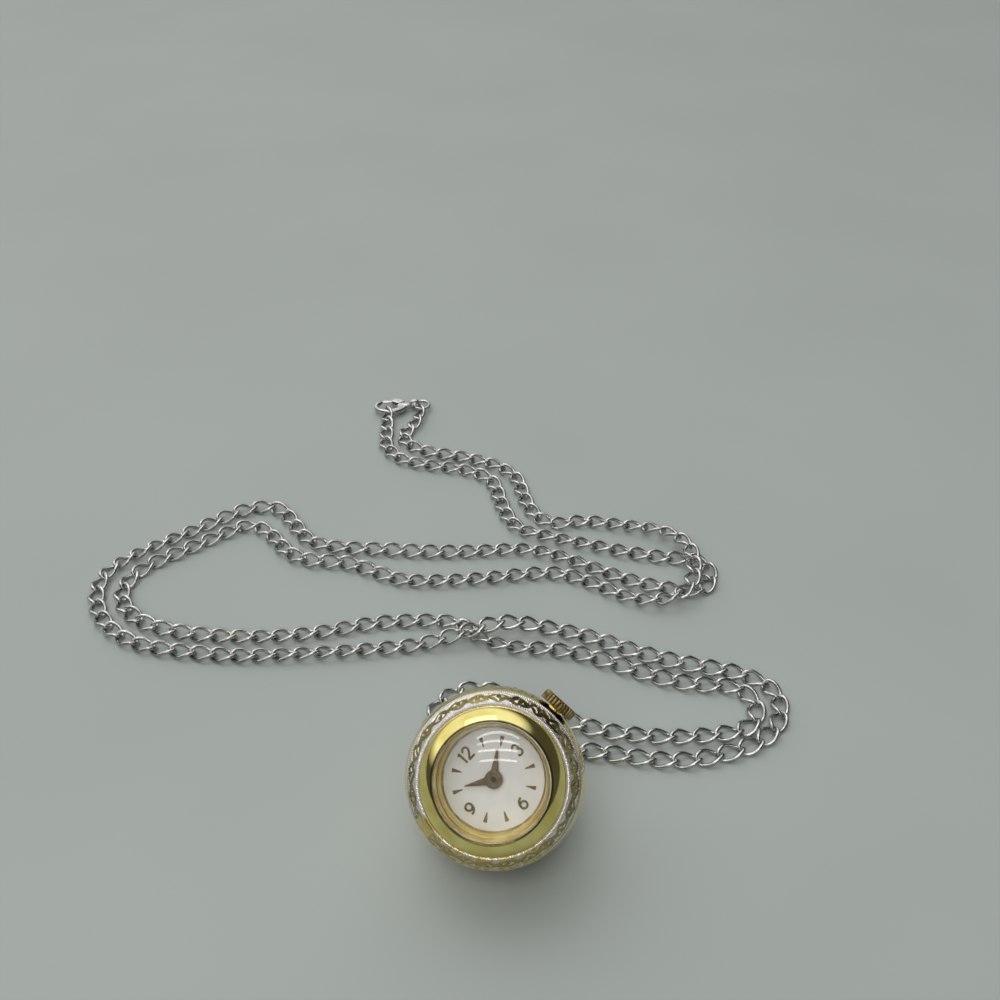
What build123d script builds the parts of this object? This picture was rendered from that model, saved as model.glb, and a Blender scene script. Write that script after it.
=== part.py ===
from build123d import *
import os
from math import acos, asin, atan2, ceil, cos, degrees, hypot, radians, sin, sqrt

# Ball pendant watch on a curb-link neck chain, laid on a table.
# Millimetres, +Z up. The origin is the point where the ball touches the table, and the dial looks
# up and towards -Y. The ball leans back on its bail, and the chain lies doubled on the table.
# The watch is drawn in its own frame: ball centre at zero, +Z out through the dial, +X to three
# o'clock, +Y to twelve. One placement then sets it on the table.

# Pose on the table, in degrees
dial_elevation = 46.6
dial_turn = -3.75
dial_roll = 51.0

# Case
ball_radius = 11.0
case_wall = 0.8
case_bore = 8.8
case_shelf = 3.2
seam_depth = 1.6
spigot_height = 1.0
spigot_wall = 0.8
back_cut_angles = (112.0, 129.0, 146.0, 163.0)
fit_gap = 0.02

# Filigree band, bezel, crystal and reflector ring
band_low_angle = 71.0
band_high_angle = 54.3
band_thickness = 0.3
band_rail_width = 0.45
band_field_depth = 0.1
leaf_count = 28
leaf_long = 1.4
leaf_wide = 0.6
leaf_lean = 32.0
neck_width = 0.7
neck_height = 0.75
bezel_bulge = 3.6
bezel_crest_angle = 45.0
opening_radius = 7.3
bezel_inset = 0.2
crystal_wall = 0.6
crystal_rise = 1.1
crystal_edge = 1.1
reflector_steps = 4
reflector_inset = 0.4
reflector_lean_share = 0.4
dial_opening = 5.95

# Bail and its ring
bail_collar_radius = 1.3
bail_collar_thickness = 0.5
bail_tenon_radius = 0.6
bail_neck_radius = 0.65
bail_eye_radius = 1.3
bail_eye_hole = 0.6
bail_eye_thickness = 1.0
bail_ring_radius = 2.3
bail_ring_wire = 0.7
bail_ring_droop = 3.7

# Crown, tube and stem
stem_height = 1.2
crown_radius = 2.45
crown_thickness = 1.4
crown_gap = 0.17
crown_ribs = 24
crown_rib_depth = 0.14
crown_rib_shares = (0.1, 0.5, 0.75)
crown_recess_radius = 1.1
crown_recess_depth = 0.5
crown_travel = 0.6
tube_radius = 0.9
tube_bore = 0.46
tube_stand = 0.35
tube_depth = 1.3
stem_radius = 0.4
stem_square = 0.52
stem_pilot_radius = 0.2
stem_groove_radius = 0.24
stem_groove_width = 0.36
thread_depth = 0.6

# Dial and hands
dial_face = 3.0
dial_thickness = 0.35
dial_inset = 0.1
dial_hole = 0.75
marker_hours = (1, 2, 4, 5, 7, 8, 10, 11)
marker_inner = 3.9
marker_outer = 5.1
marker_wide = 0.42
marker_narrow = 0.12
marker_height = 0.16
hand_hub = 1.08
hour_hand_length = 3.5
minute_hand_length = 3.6
hand_root = 0.95
hour_tip = 0.2
minute_tip = 0.08
hand_thickness = 0.16
hour_hand_lift = 0.3
minute_hand_lift = 0.6
hour_hand_angle = 55.4
minute_hand_angle = 305.6

# Plates, bridges, pillars, screws and jewels of the movement
motion_space = 0.65
plate_thickness = 1.05
plate_radius = 6.4
plate_gap = 0.05
rim_width = 0.55
train_space = 0.9
bridge_thickness = 0.6
bridge_inset = 0.3
bridge_floor = 0.15
barrel_corner_x = 0.4
barrel_corner_y = 0.8
barrel_sector = (-55.0, 143.0)
train_corner_x = 0.45
train_corner_y = 0.1
train_sector = (146.0, 268.0)
pillar_radius = 0.5
pillar_inset = 1.05
barrel_pillar_angles = (115.0, 38.0)
train_pillar_angles = (160.0, 205.0, 255.0)
screw_radius = 0.24
screw_head_radius = 0.42
screw_head_height = 0.2
screw_slot_width = 0.12
screw_slot_depth = 0.09
screw_reach = 0.7
screw_turn = 25.0
jewel_radius = 0.3
jewel_thickness = 0.22
arbor_radius = 0.1
arbor_gap = 0.02
side_gap = 0.1
casing_step = 0.8
clamp_angles = (60.0, 195.0)
clamp_long = 1.7
clamp_wide = 1.3
clamp_hold = 0.5
clamp_thickness = 0.2
clamp_screw_inset = 0.5

# Going train: each wheel is riveted to its pinion
tooth_rise_share = 0.9
tooth_drop_share = 1.15
wheel_thickness = 0.12
pinion_reach = 0.12
barrel_distance = 2.94
barrel_angle = 75.0
barrel_teeth = 48
centre_leaves = 8
barrel_level = 0.4
barrel_height = 1.0
barrel_flange = 0.17
barrel_wall = 0.14
barrel_lid = 0.12
barrel_arbor_radius = 0.5
barrel_pivot_radius = 0.3
barrel_headroom = 0.15
mainspring_turns = 5
mainspring_strip = 0.09
ratchet_square = 0.4
ratchet_screw_radius = 0.12
spring_points = 12
centre_teeth = 48
centre_module = 0.085
centre_level = 0.15
centre_arbor_radius = 0.2
third_leaves = 6
third_teeth = 45
third_module = 0.07
third_angle = 200.0
third_level = 0.65
fourth_leaves = 6
fourth_teeth = 60
fourth_module = 0.05
fourth_angle = 275.0
fourth_level = 0.43
escape_leaves = 6
escape_teeth = 15
escape_radius = 1.1
escape_root = 0.82
escape_hook = 9.0
escape_back_share = 0.33
escape_angle = -15.0
escape_level = 0.68

# Escapement and balance
pallet_distance = 1.3
pallet_angle = 1.5
pallet_arm = 0.68
pallet_spread = 62.0
pallet_stone_long = 0.16
pallet_stone_wide = 0.16
pallet_bar = 0.2
fork_long = 1.55
fork_head = 0.5
fork_slot = 0.16
fork_slot_depth = 0.24
pallet_cock_level = 0.42
pallet_cock_thickness = 0.16
pallet_pillar_x = 0.45
pallet_pillar_y = -5.0
pallet_pillar_radius = 0.4
balance_distance = 1.99
balance_angle = 2.3
balance_radius = 1.9
balance_rim = 0.28
balance_thickness = 0.17
balance_level = 0.18
balance_arms = 3
roller_radius = 0.28
impulse_radius = 0.06
impulse_place = 0.3
hairspring_level = 0.06
hairspring_strip = 0.05
hairspring_height = 0.07
hairspring_turns = 4
hairspring_inner = 0.3
hairspring_outer = 1.0
cock_head_radius = 0.9
cock_pillar_angle = -72.0
cock_pillar_radius = 0.45
regulator_ring = 0.6
regulator_boss = 0.3
regulator_long = 1.9
regulator_wide = 0.3
regulator_thickness = 0.14
regulator_angle = -75.0

# Winding and setting work
winding_start = 4.88
winding_width = 0.36
winding_radius = 1.42
winding_tooth = 0.16
winding_teeth = 23
window_gap = 0.06
clutch_start = 3.25
clutch_travel = 0.3
clutch_radius = 0.82
clutch_waist = 0.6
clutch_groove = 0.5
clutch_end = 0.5
pilot_start = 2.4
groove_start = 5.36
crown_wheel_place = 3.4
crown_wheel_teeth = 28
ratchet_teeth = 36
winding_wheel_thickness = 0.26
winding_wheel_gap = 0.03
crown_core_radius = 0.5
core_head_radius = 0.8
core_head_height = 0.1
cannon_leaves = 10
minute_teeth = 30
minute_leaves = 8
hour_teeth = 32
motion_module = 0.085
minute_angle = -60.0
setting_teeth = 16
setting_angle = 35.0
motion_lift = 0.06
motion_wheel = 0.14
motion_step = 0.08
post_radius = 0.15
cannon_wall = 0.14
pipe_wall = 0.14
pipe_gap = 0.03
click_angle = 165.0
click_distance = 3.0
click_pivot_radius = 0.16
click_wide = 0.36
click_bite = 0.1
click_room = 0.72
click_play = 0.06
click_spring_wire = 0.1
click_shoulder = 75.0
click_spring_angles = (100.0, 150.0)
lever_pivot_x = 5.8
lever_pivot_y = -1.6
lever_wide = 0.36
lever_thickness = 0.16
lever_pin_radius = 0.12
lever_pin_place = 0.4
yoke_pivot_x = 4.95
yoke_pivot_y = 2.3
yoke_wide = 0.34
yoke_tip_place = 0.1

# Chain. The two routes give the middle of each strand, from the bail's ring to the clasp.
wire = 0.58
link_half_width = 1.15
link_twist = 48.0
link_play = 0.2
link_pitch = 3.12
link_stations = 8
wire_sides = 3
ring_play = 0.08
lie = 0.63
edge = 0.95
over = 2.2
climb = 1.4
hook_rolls = (-42.0, -20.0)
outer_strand_route = (
    (9.0, 12.8, edge), (14.0, 12.8, lie), (19.5, 11.6, lie), (25.5, 11.0, lie), (31.5, 12.3, lie),
    (37.0, 14.6, lie), (40.4, 19.2, lie), (40.0, 24.6, lie), (35.4, 27.6, lie), (28.5, 28.9, lie),
    (21.5, 31.2, lie), (14.5, 34.9, lie), (8.5, 36.8, lie), (1.5, 37.0, over), (-4.5, 34.4, over),
    (-11.0, 33.2, lie), (-20.0, 32.0, lie), (-29.0, 31.2, lie), (-38.0, 30.8, lie),
    (-46.5, 31.7, lie), (-54.0, 33.2, lie), (-59.7, 37.2, lie), (-63.0, 43.2, lie),
    (-63.2, 49.2, lie), (-59.5, 54.0, lie), (-53.5, 58.4, lie), (-47.8, 63.0, lie),
    (-42.8, 66.4, lie), (-37.4, 66.9, lie), (-34.3, 62.2, lie), (-31.4, 57.6, lie),
    (-26.5, 55.9, lie), (-19.0, 55.4, lie), (-11.0, 54.6, lie), (-3.0, 55.0, lie),
    (4.5, 55.7, lie), (9.8, 54.0, lie), (15.5, 50.8, lie), (21.5, 47.6, lie), (27.5, 45.6, lie),
    (33.2, 44.9, lie), (35.9, 47.5, lie), (35.9, 51.1, lie), (33.2, 53.8, lie), (28.0, 53.3, lie),
    (21.5, 54.7, lie), (14.5, 56.8, lie), (8.0, 58.8, lie), (3.0, 61.0, lie), (0.6, 68.0, lie),
    (-0.4, 74.4, lie), (-5.0, 77.8, lie), (-12.0, 79.0, lie), (-17.5, 80.7, lie),
    (-20.8, 85.2, lie), (-20.6, 90.2, edge),
)
inner_strand_route = (
    (-7.0, 12.6, edge), (-10.4, 16.4, lie), (-9.4, 22.0, lie), (-4.6, 25.4, lie), (2.0, 24.8, lie),
    (7.0, 20.8, lie), (12.5, 17.0, lie), (18.5, 15.7, lie), (24.5, 15.1, lie), (30.0, 15.6, lie),
    (34.7, 16.5, lie), (36.9, 19.3, lie), (36.6, 22.8, lie), (34.0, 25.0, lie), (29.0, 25.0, lie),
    (23.5, 26.4, lie), (18.0, 29.0, lie), (12.5, 31.5, lie), (7.5, 32.4, lie), (2.5, 32.5, lie),
    (-1.8, 34.0, lie), (-5.6, 38.2, lie), (-12.0, 38.6, lie), (-19.0, 38.0, lie),
    (-26.0, 36.0, lie), (-33.0, 34.9, lie), (-41.0, 35.0, lie), (-48.0, 35.7, lie),
    (-54.0, 37.6, lie), (-58.1, 41.4, lie), (-59.4, 46.3, lie), (-57.0, 51.2, lie),
    (-51.2, 55.4, lie), (-46.2, 59.3, lie), (-41.4, 62.4, lie), (-37.6, 59.4, lie),
    (-34.4, 54.4, lie), (-30.0, 52.2, lie), (-24.5, 52.2, lie), (-19.5, 49.8, lie),
    (-15.0, 47.6, lie), (-8.5, 47.6, lie), (-1.0, 48.3, lie), (5.5, 49.5, lie), (10.6, 49.6, lie),
    (15.4, 47.2, lie), (20.0, 43.9, lie), (25.3, 41.9, climb), (30.2, 43.8, over),
    (31.8, 49.0, over), (31.6, 55.2, over), (27.7, 59.8, climb), (20.5, 61.9, lie),
    (14.5, 63.2, lie), (9.6, 61.9, lie), (6.2, 64.8, lie), (4.6, 70.0, lie), (3.8, 75.4, lie),
    (-0.5, 79.8, lie), (-7.0, 81.9, lie), (-13.0, 83.2, lie), (-17.3, 86.4, lie),
    (-17.2, 89.8, lie), (-15.2, 92.6, edge),
)

# Clasp, lying near the end of both strands
clasp_x = -20.5
clasp_y = 97.8
clasp_turn = 6.0
clasp_lift = 1.08
clasp_thickness = 1.0
clasp_half_long = 3.2
clasp_half_wide = 2.2
clasp_mouth_long = 1.9
clasp_mouth_wide = 1.1
clasp_mouth_shift = 0.5
clasp_tail_wide = 1.2
clasp_eye_place = 4.6
clasp_eye_radius = 0.9
clasp_eye_hole = 0.5
clasp_hook_place = -0.8
clasp_gap_start = -1.9
clasp_gap_end = 0.7
clasp_slit = 0.5
clasp_slit_floor = 0.45
clasp_edge = 0.24
trigger_thickness = 0.42
trigger_pin_x = 2.0
trigger_pin_y = 1.3
trigger_pin_radius = 0.2
trigger_tail = 0.45
trigger_lift = 0.25
trigger_thumb = 0.45
trigger_thumb_x = 0.55
trigger_gap = 0.05
spring_strip = 0.12
tail_ring_radius = 1.4
tail_ring_wire = 0.6


def polar(distance, angle, start=(0, 0)):
    """Point at a distance and an angle, in degrees, from a start point."""
    return (start[0] + distance * cos(radians(angle)), start[1] + distance * sin(radians(angle)))


# Radii and heights in the watch, worked out from the sizes above
bezel_bore = opening_radius - bezel_inset
reflector_mouth = opening_radius - reflector_inset
dial_radius = plate_radius - dial_inset
bridge_radius = plate_radius - bridge_inset
pillar_ring = plate_radius - pillar_inset
dial_back = dial_face - dial_thickness
plate_top = dial_back - motion_space
plate_bottom = plate_top - plate_thickness
bridge_top = plate_bottom - train_space
bridge_bottom = bridge_top - bridge_thickness
sunk_floor = bridge_top - bridge_floor
spigot_top = spigot_height - seam_depth
band_floor = ball_radius - band_thickness
neck_base = band_floor * cos(radians(band_high_angle))
neck_top = neck_base + neck_height
neck_radius = opening_radius + neck_width

# Places of the movement's pivots, each at its gears' distance from the one before
barrel_module = 2 * barrel_distance / (barrel_teeth + centre_leaves)
barrel_place = polar(barrel_distance, barrel_angle)
third_place = polar(centre_module * (centre_teeth + third_leaves) / 2, third_angle)
fourth_place = polar(third_module * (third_teeth + fourth_leaves) / 2, fourth_angle, third_place)
escape_place = polar(fourth_module * (fourth_teeth + escape_leaves) / 2, escape_angle, fourth_place)
pallet_place = polar(pallet_distance, pallet_angle, escape_place)
balance_place = polar(balance_distance, balance_angle, pallet_place)
minute_place = polar(motion_module * (cannon_leaves + minute_teeth) / 2, minute_angle)
setting_place = polar(motion_module * (minute_teeth + setting_teeth) / 2, setting_angle, minute_place)
crown_place = (crown_wheel_place, 0)
winding_span = hypot(barrel_place[0] - crown_place[0], barrel_place[1] - crown_place[1])
winding_module = 2 * winding_span / (crown_wheel_teeth + ratchet_teeth)
click_place = polar(click_distance, click_angle, barrel_place)
cock_pillar = polar(pillar_ring, cock_pillar_angle)
pallet_pillar = (pallet_pillar_x, pallet_pillar_y)
lever_pivot = (lever_pivot_x, lever_pivot_y)
yoke_pivot = (yoke_pivot_x, yoke_pivot_y)
barrel_corner = (barrel_corner_x, barrel_corner_y)
train_corner = (train_corner_x, train_corner_y)
barrel_pillars = [polar(pillar_ring, angle) for angle in barrel_pillar_angles]
train_pillars = [polar(pillar_ring, angle) for angle in train_pillar_angles]
bridge_pillars = barrel_pillars + train_pillars + [cock_pillar]
train_jewels = [third_place, fourth_place, escape_place]
plate_jewel_places = train_jewels + [pallet_place, balance_place]

# The watch's placement on the table, and that of the clasp
watch_place = Pos(0, 0, ball_radius) * Rot(0, 0, dial_turn) * Rot(90 - dial_elevation, 0, 0)
watch_place = watch_place * Rot(0, 0, dial_roll)
clasp_place = Pos(clasp_x, clasp_y, clasp_lift) * Rot(0, 0, clasp_turn)

# Steps and sides of what is drawn with flat runs, to keep the facets few
arc_step = 8.0
bezel_steps = 8
dome_steps = 3
round_sides = 16
ring_sides = 8

upright = (Align.CENTER, Align.CENTER, Align.MIN)
corner = (Align.MIN, Align.MIN, Align.MIN)
from_end = (Align.MIN, Align.CENTER, Align.MIN)


# Plain shapes
def disc(radius, low, high, place=(0, 0)):
    return Pos(place[0], place[1], low) * Cylinder(radius, high - low, align=upright)


def stud(radius, low, high, place=(0, 0)):
    """Disc with flat sides, for the small rounds that repeat."""
    return Pos(place[0], place[1], low) * extrude(RegularPolygon(radius, round_sides), amount=high - low)


def wire_ring(radius, thickness):
    """Ring of wire about the Z axis, with a few-sided section."""
    return revolve(Pos(radius, 0, 0) * Rot(90, 0, 0) * RegularPolygon(thickness / 2, ring_sides), Axis.Z)


def ring(outer, inner, low, high, place=(0, 0)):
    return disc(outer, low, high, place) - disc(inner, low, high, place)


def stem_rod(radius, start, end):
    """Round bar on the stem's axis, from one distance off the dial's axis to another."""
    return Pos(start, 0, stem_height) * Rot(0, 90, 0) * Cylinder(radius, end - start, align=upright)


def block(x_low, x_high, y_low, y_high, z_low, z_high):
    return Pos(x_low, y_low, z_low) * Box(x_high - x_low, y_high - y_low, z_high - z_low, align=corner)


def flat(points, low, high):
    """Flat piece with the outline that the points give."""
    return Pos(0, 0, low) * extrude(make_face(Polyline(*points, close=True)), amount=high - low)


def turned_box(long, wide, low, high, place, angle, align=from_end):
    """Box that starts at a place and runs along an angle."""
    return Pos(place[0], place[1], low) * Rot(0, 0, angle) * Box(long, wide, high - low, align=align)


def bar(start, end, wide, low, high):
    """Flat bar with round ends from one place to another."""
    reach = hypot(end[0] - start[0], end[1] - start[1])
    angle = degrees(atan2(end[1] - start[1], end[0] - start[0]))
    straight = turned_box(reach, wide, low, high, start, angle)
    return straight + disc(wide / 2, low, high, start) + disc(wide / 2, low, high, end)


def solids_of(shapes):
    """One shape that holds the solids of several, still apart."""
    return Compound([solid for shape in shapes for solid in shape.solids()])


# Sections of the turned pieces: radius from the dial's axis, and height
def rz(point):
    return Vector(point[0], 0, point[1])


def on_ball(radius, angle):
    """Point of the ball's section, by its angle from the dial's axis."""
    return (radius * sin(radians(angle)), radius * cos(radians(angle)))


def ball_arc(radius, start, end):
    """Run of the ball's section, in short straight steps that keep the facets few."""
    count = ceil(abs(end - start) / arc_step)
    return lines(*(on_ball(radius, start + (end - start) * k / count) for k in range(count + 1)))


def arc_points(centre, start, end, count):
    """Points along an arc of a section about a centre, from one point to another."""
    radius = hypot(start[0] - centre[0], start[1] - centre[1])
    first = atan2(start[1] - centre[1], start[0] - centre[0])
    step = (atan2(end[1] - centre[1], end[0] - centre[0]) - first) / count
    angles = [first + step * k for k in range(count + 1)]
    return [(centre[0] + radius * cos(angle), centre[1] + radius * sin(angle)) for angle in angles]


def lines(*points):
    return Polyline(*(rz(point) for point in points))


def lathe(*edges):
    """Body of revolution about the dial's axis, from the edges of its section."""
    return revolve(make_face(list(edges)), Axis.Z)


# Gear teeth
def toothed(teeth, module, low, high, place=(0, 0), phase=0.0):
    """Wheel with pointed teeth; the first one lies at the angle phase."""
    pitch = module * teeth / 2
    rims = (pitch + module * tooth_rise_share, pitch - module * tooth_drop_share)
    points = [polar(rims[k % 2], phase + 180 * k / teeth, place) for k in range(2 * teeth)]
    return flat(points, low, high)


def meshing_phase(phase, teeth, other_teeth, direction):
    """Phase of a wheel that lies in a direction from a wheel of known phase and meshes with it."""
    step, other_step = 360 / teeth, 360 / other_teeth
    part = ((direction - phase) % step) / step
    return direction + 180 + (part - 0.5) * other_step


def spiral(inner, outer, turns, strip, low, high, place):
    """Flat coiled spring between two radii."""
    count = turns * spring_points
    rows = []
    for side in (strip / 2, -strip / 2):
        radii = [inner + (outer - inner) * k / count + side for k in range(count + 1)]
        rows.append([polar(radius, 360 * k / spring_points, place) for k, radius in enumerate(radii)])
    return flat(rows[0] + rows[1][::-1], low, high)


def screw(place, head_low, head_high, end, radius=screw_radius, head_radius=screw_head_radius, turn=0.0):
    """Slotted screw with its head at the back."""
    body = stud(head_radius, head_low, head_high, place) + stud(radius, head_high, end, place)
    slot = turned_box(
        2 * head_radius, screw_slot_width, head_low, head_low + screw_slot_depth, place, turn, align=upright
    )
    return body - slot


# Case
def make_case_front():
    seam = degrees(acos(-seam_depth / ball_radius))
    shell = lathe(
        lines((case_bore, -seam_depth), on_ball(ball_radius, seam)),
        ball_arc(ball_radius, seam, band_low_angle),
        lines(on_ball(ball_radius, band_low_angle), on_ball(band_floor, band_low_angle)),
        ball_arc(band_floor, band_low_angle, band_high_angle),
        lines(
            on_ball(band_floor, band_high_angle), (neck_radius, neck_base), (neck_radius, neck_top),
            (opening_radius, neck_top), (opening_radius, case_shelf), (case_bore, case_shelf),
            (case_bore, -seam_depth),
        ),
    )
    return shell - stem_rod(tube_radius + fit_gap, opening_radius, ball_radius)


def make_filigree_band():
    """Pierced overlay between the bezel and the plain half of the case, with a rail at each edge."""
    rail = degrees(band_rail_width / ball_radius)
    field = ball_radius - band_field_depth
    low_rail, high_rail = band_low_angle - rail, band_high_angle + rail
    band = lathe(
        ball_arc(ball_radius, band_low_angle, low_rail),
        lines(on_ball(ball_radius, low_rail), on_ball(field, low_rail)),
        ball_arc(field, low_rail, high_rail),
        lines(on_ball(field, high_rail), on_ball(ball_radius, high_rail)),
        ball_arc(ball_radius, high_rail, band_high_angle),
        lines(on_ball(ball_radius, band_high_angle), on_ball(band_floor, band_high_angle)),
        ball_arc(band_floor, band_high_angle, band_low_angle),
        lines(on_ball(band_floor, band_low_angle), on_ball(ball_radius, band_low_angle)),
    )
    half_long, half_wide = leaf_long / 2, leaf_wide / 2
    outline = ((-half_long, 0), (0, -half_wide), (half_long, 0), (0, half_wide))
    leaf = flat(outline, ball_radius - 2 * band_thickness, ball_radius + band_thickness)
    middle = (band_low_angle + band_high_angle) / 2
    leaves = []
    for k in range(leaf_count):
        lean = leaf_lean if k % 2 else -leaf_lean
        leaves.append(Rot(0, 0, 360 * k / leaf_count) * Rot(0, middle, 0) * Rot(0, 0, lean) * leaf)
    return band - leaves


def make_bezel():
    """Domed ring with its crest on the ball's own radius, pressed over the neck."""
    across, up = on_ball(ball_radius - bezel_bulge, bezel_crest_angle)
    foot = (across + sqrt(bezel_bulge**2 - (neck_base - up) ** 2), neck_base)
    lip = (bezel_bore, up + sqrt(bezel_bulge**2 - (bezel_bore - across) ** 2))
    groove = neck_radius + fit_gap
    dome = arc_points((across, up), foot, lip, bezel_steps)
    return lathe(lines(*dome, (bezel_bore, neck_top), (groove, neck_top), (groove, neck_base), foot))


def make_crystal():
    """Domed glass with a skirt that stands on the case's neck inside the bezel."""
    outer = bezel_bore - fit_gap
    inner = outer - crystal_wall
    side_top = neck_top + crystal_edge
    dome = (outer**2 + crystal_rise**2) / (2 * crystal_rise)
    middle = side_top + crystal_rise - dome

    def dome_points(radius, reach):
        edge = (reach, middle + sqrt(radius**2 - reach**2))
        return arc_points((0, middle), edge, (0, middle + radius), dome_steps)

    under = dome_points(dome - crystal_wall, inner)
    points = [(inner, neck_top), (outer, neck_top), *dome_points(dome, outer), *under[::-1]]
    return lathe(lines(*points, points[0]))


def make_reflector_ring():
    """Stepped ring between the crystal and the dial."""
    outer = opening_radius - fit_gap
    step_in = (reflector_mouth - dial_opening) / reflector_steps
    step_down = (neck_top - dial_face) / reflector_steps
    points = [(outer, case_shelf), (outer, neck_top), (reflector_mouth, neck_top)]
    for k in range(reflector_steps):
        radius, height = reflector_mouth - step_in * k, neck_top - step_down * (k + 1)
        points += [(radius - step_in * reflector_lean_share, height), (radius - step_in, height)]
    points += [(plate_radius, dial_face), (plate_radius, case_shelf)]
    return lathe(lines(*points, points[0]))


def make_casing_ring():
    """Ring that holds the movement in the case, clamped between the shelf and the back's spigot."""
    bore, outer = plate_radius + plate_gap, case_bore - fit_gap
    holder = lathe(
        lines(
            (bore, plate_bottom), (bore, case_shelf), (outer, case_shelf), (outer, spigot_top),
            (outer - casing_step, spigot_top), (outer - casing_step, plate_bottom), (bore, plate_bottom),
        )
    )
    holder -= [stud(screw_radius, plate_bottom, plate_bottom + screw_reach, place) for place in clamp_screws]
    return holder - stem_rod(tube_bore, plate_radius, case_bore)


def make_case_back():
    """Deep back shell with a spigot inside the seam and a flat seat for the bail."""
    seam = degrees(acos(-seam_depth / ball_radius))
    seat_angle = 180 - degrees(asin(bail_collar_radius / ball_radius))
    inside = ball_radius - case_wall
    hole_angle = 180 - degrees(asin(bail_tenon_radius / inside))
    spigot_outer = case_bore - fit_gap
    spigot_inner = spigot_outer - spigot_wall
    seat = on_ball(ball_radius, seat_angle)
    hollow = [on_ball(inside, angle) for angle in sorted(back_cut_angles, reverse=True)]
    return lathe(
        ball_arc(ball_radius, seam, seat_angle),
        lines(
            seat, (bail_tenon_radius, seat[1]), on_ball(inside, hole_angle), *hollow,
            (spigot_inner, -seam_depth - spigot_wall), (spigot_inner, spigot_top),
            (spigot_outer, spigot_top), (spigot_outer, -seam_depth), on_ball(ball_radius, seam),
        ),
    )


# Bail: a tenon through the back, a collar, a neck, and an eye that rests on the table
bail_seat = -sqrt(ball_radius**2 - bail_collar_radius**2)
bail_eye_drop = (ball_radius - bail_eye_radius) / sin(radians(dial_elevation))
bail_eye_centre = (watch_place * Pos(0, 0, -bail_eye_drop)).position


def make_bail_eye():
    turn = Rot(0, 0, -dial_roll) * Pos(0, 0, -bail_eye_drop) * Rot(0, 90, 0)
    eye = disc(bail_collar_radius, bail_seat - bail_collar_thickness, bail_seat)
    eye += disc(bail_tenon_radius - fit_gap, bail_seat, case_wall - ball_radius)
    eye += disc(bail_neck_radius, -bail_eye_drop, bail_seat)
    eye += turn * Cylinder(bail_eye_radius, bail_eye_thickness)
    return eye - turn * Cylinder(bail_eye_hole, 2 * bail_eye_radius)


# The bail's ring leans back from the eye, and the first link of each strand goes round a side
ring_side = Vector(1, 0, 0).rotate(Axis.Z, dial_turn)
ring_slope = Vector(0, cos(radians(bail_ring_droop)), -sin(radians(bail_ring_droop)))
ring_back = ring_slope.rotate(Axis.Z, dial_turn)
ring_centre = bail_eye_centre + ring_back * bail_ring_radius


def make_bail_ring():
    plane = Plane(origin=ring_centre, x_dir=ring_side, z_dir=ring_side.cross(ring_back))
    return plane.location * wire_ring(bail_ring_radius, bail_ring_wire)


# Crown, tube and stem
crown_start = sqrt(ball_radius**2 - stem_height**2) + crown_gap
stem_end = crown_start + crown_recess_depth + thread_depth
clutch_stop = winding_start - window_gap
winding_end = winding_start + winding_width
groove_end = groove_start + stem_groove_width


def make_crown():
    """Knurled crown with a recess for the tube and a blind hole for the stem's thread."""
    radii = (crown_radius, crown_radius, crown_radius - crown_rib_depth)
    points = []
    for k in range(crown_ribs):
        for radius, share in zip(radii, crown_rib_shares):
            points.append(polar(radius, 360 * (k + share) / crown_ribs))
    knob = flat(points, 0, crown_thickness) - disc(crown_recess_radius, 0, crown_recess_depth)
    knob -= disc(stem_radius, 0, crown_recess_depth + thread_depth)
    return Pos(crown_start, 0, stem_height) * Rot(0, 90, 0) * knob


def make_case_tube():
    start, end = ball_radius - tube_depth, crown_start + tube_stand
    return stem_rod(tube_radius, start, end) - stem_rod(tube_bore, start, end)


def stem_key(gap, start, end):
    """Square bar on the stem's axis."""
    half = stem_square / 2 + gap
    return block(start, end, -half, half, stem_height - half, stem_height + half)


def make_stem():
    stem = stem_rod(stem_pilot_radius, pilot_start, clutch_start) + stem_key(0, clutch_start, clutch_stop)
    stem += stem_rod(stem_radius, clutch_stop, groove_start)
    stem += stem_rod(stem_groove_radius, groove_start, groove_end)
    return stem + stem_rod(stem_radius, groove_end, stem_end)


# Motion work between the plate and the dial, and what it carries above the dial
cannon_bore = centre_arbor_radius + arbor_gap
cannon_radius = cannon_bore + cannon_wall
pipe_bore = cannon_radius + pipe_gap
pipe_radius = pipe_bore + pipe_wall
motion_low = plate_top + motion_lift
motion_high = motion_low + motion_wheel
hour_wheel_low = motion_high + motion_step
hour_wheel_high = hour_wheel_low + motion_wheel
hour_hand_top = dial_face + hour_hand_lift + hand_thickness
minute_hand_top = dial_face + minute_hand_lift + hand_thickness
minute_phase = meshing_phase(0, cannon_leaves, minute_teeth, minute_angle)
setting_phase = meshing_phase(minute_phase, minute_teeth, setting_teeth, setting_angle)
hour_phase = meshing_phase(0, minute_leaves, hour_teeth, minute_angle + 180)


def make_dial():
    return ring(dial_radius, dial_hole, dial_back, dial_face)


def make_hour_markers():
    outline = (
        (marker_inner, -marker_narrow / 2), (marker_outer, -marker_wide / 2),
        (marker_outer, marker_wide / 2), (marker_inner, marker_narrow / 2),
    )
    wedge = flat(outline, dial_face, dial_face + marker_height)
    return solids_of([Rot(0, 0, 90 - 30 * hour) * wedge for hour in marker_hours])


def make_hand(length, tip, high, angle, bore):
    """Tapered hand on a round hub, by its angle clockwise from twelve."""
    low = high - hand_thickness
    blade = flat(((0, -hand_root / 2), (length, -tip / 2), (length, tip / 2), (0, hand_root / 2)), low, high)
    return Rot(0, 0, 90 - angle) * (blade + disc(hand_hub, low, high) - disc(bore, low, high))


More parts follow.
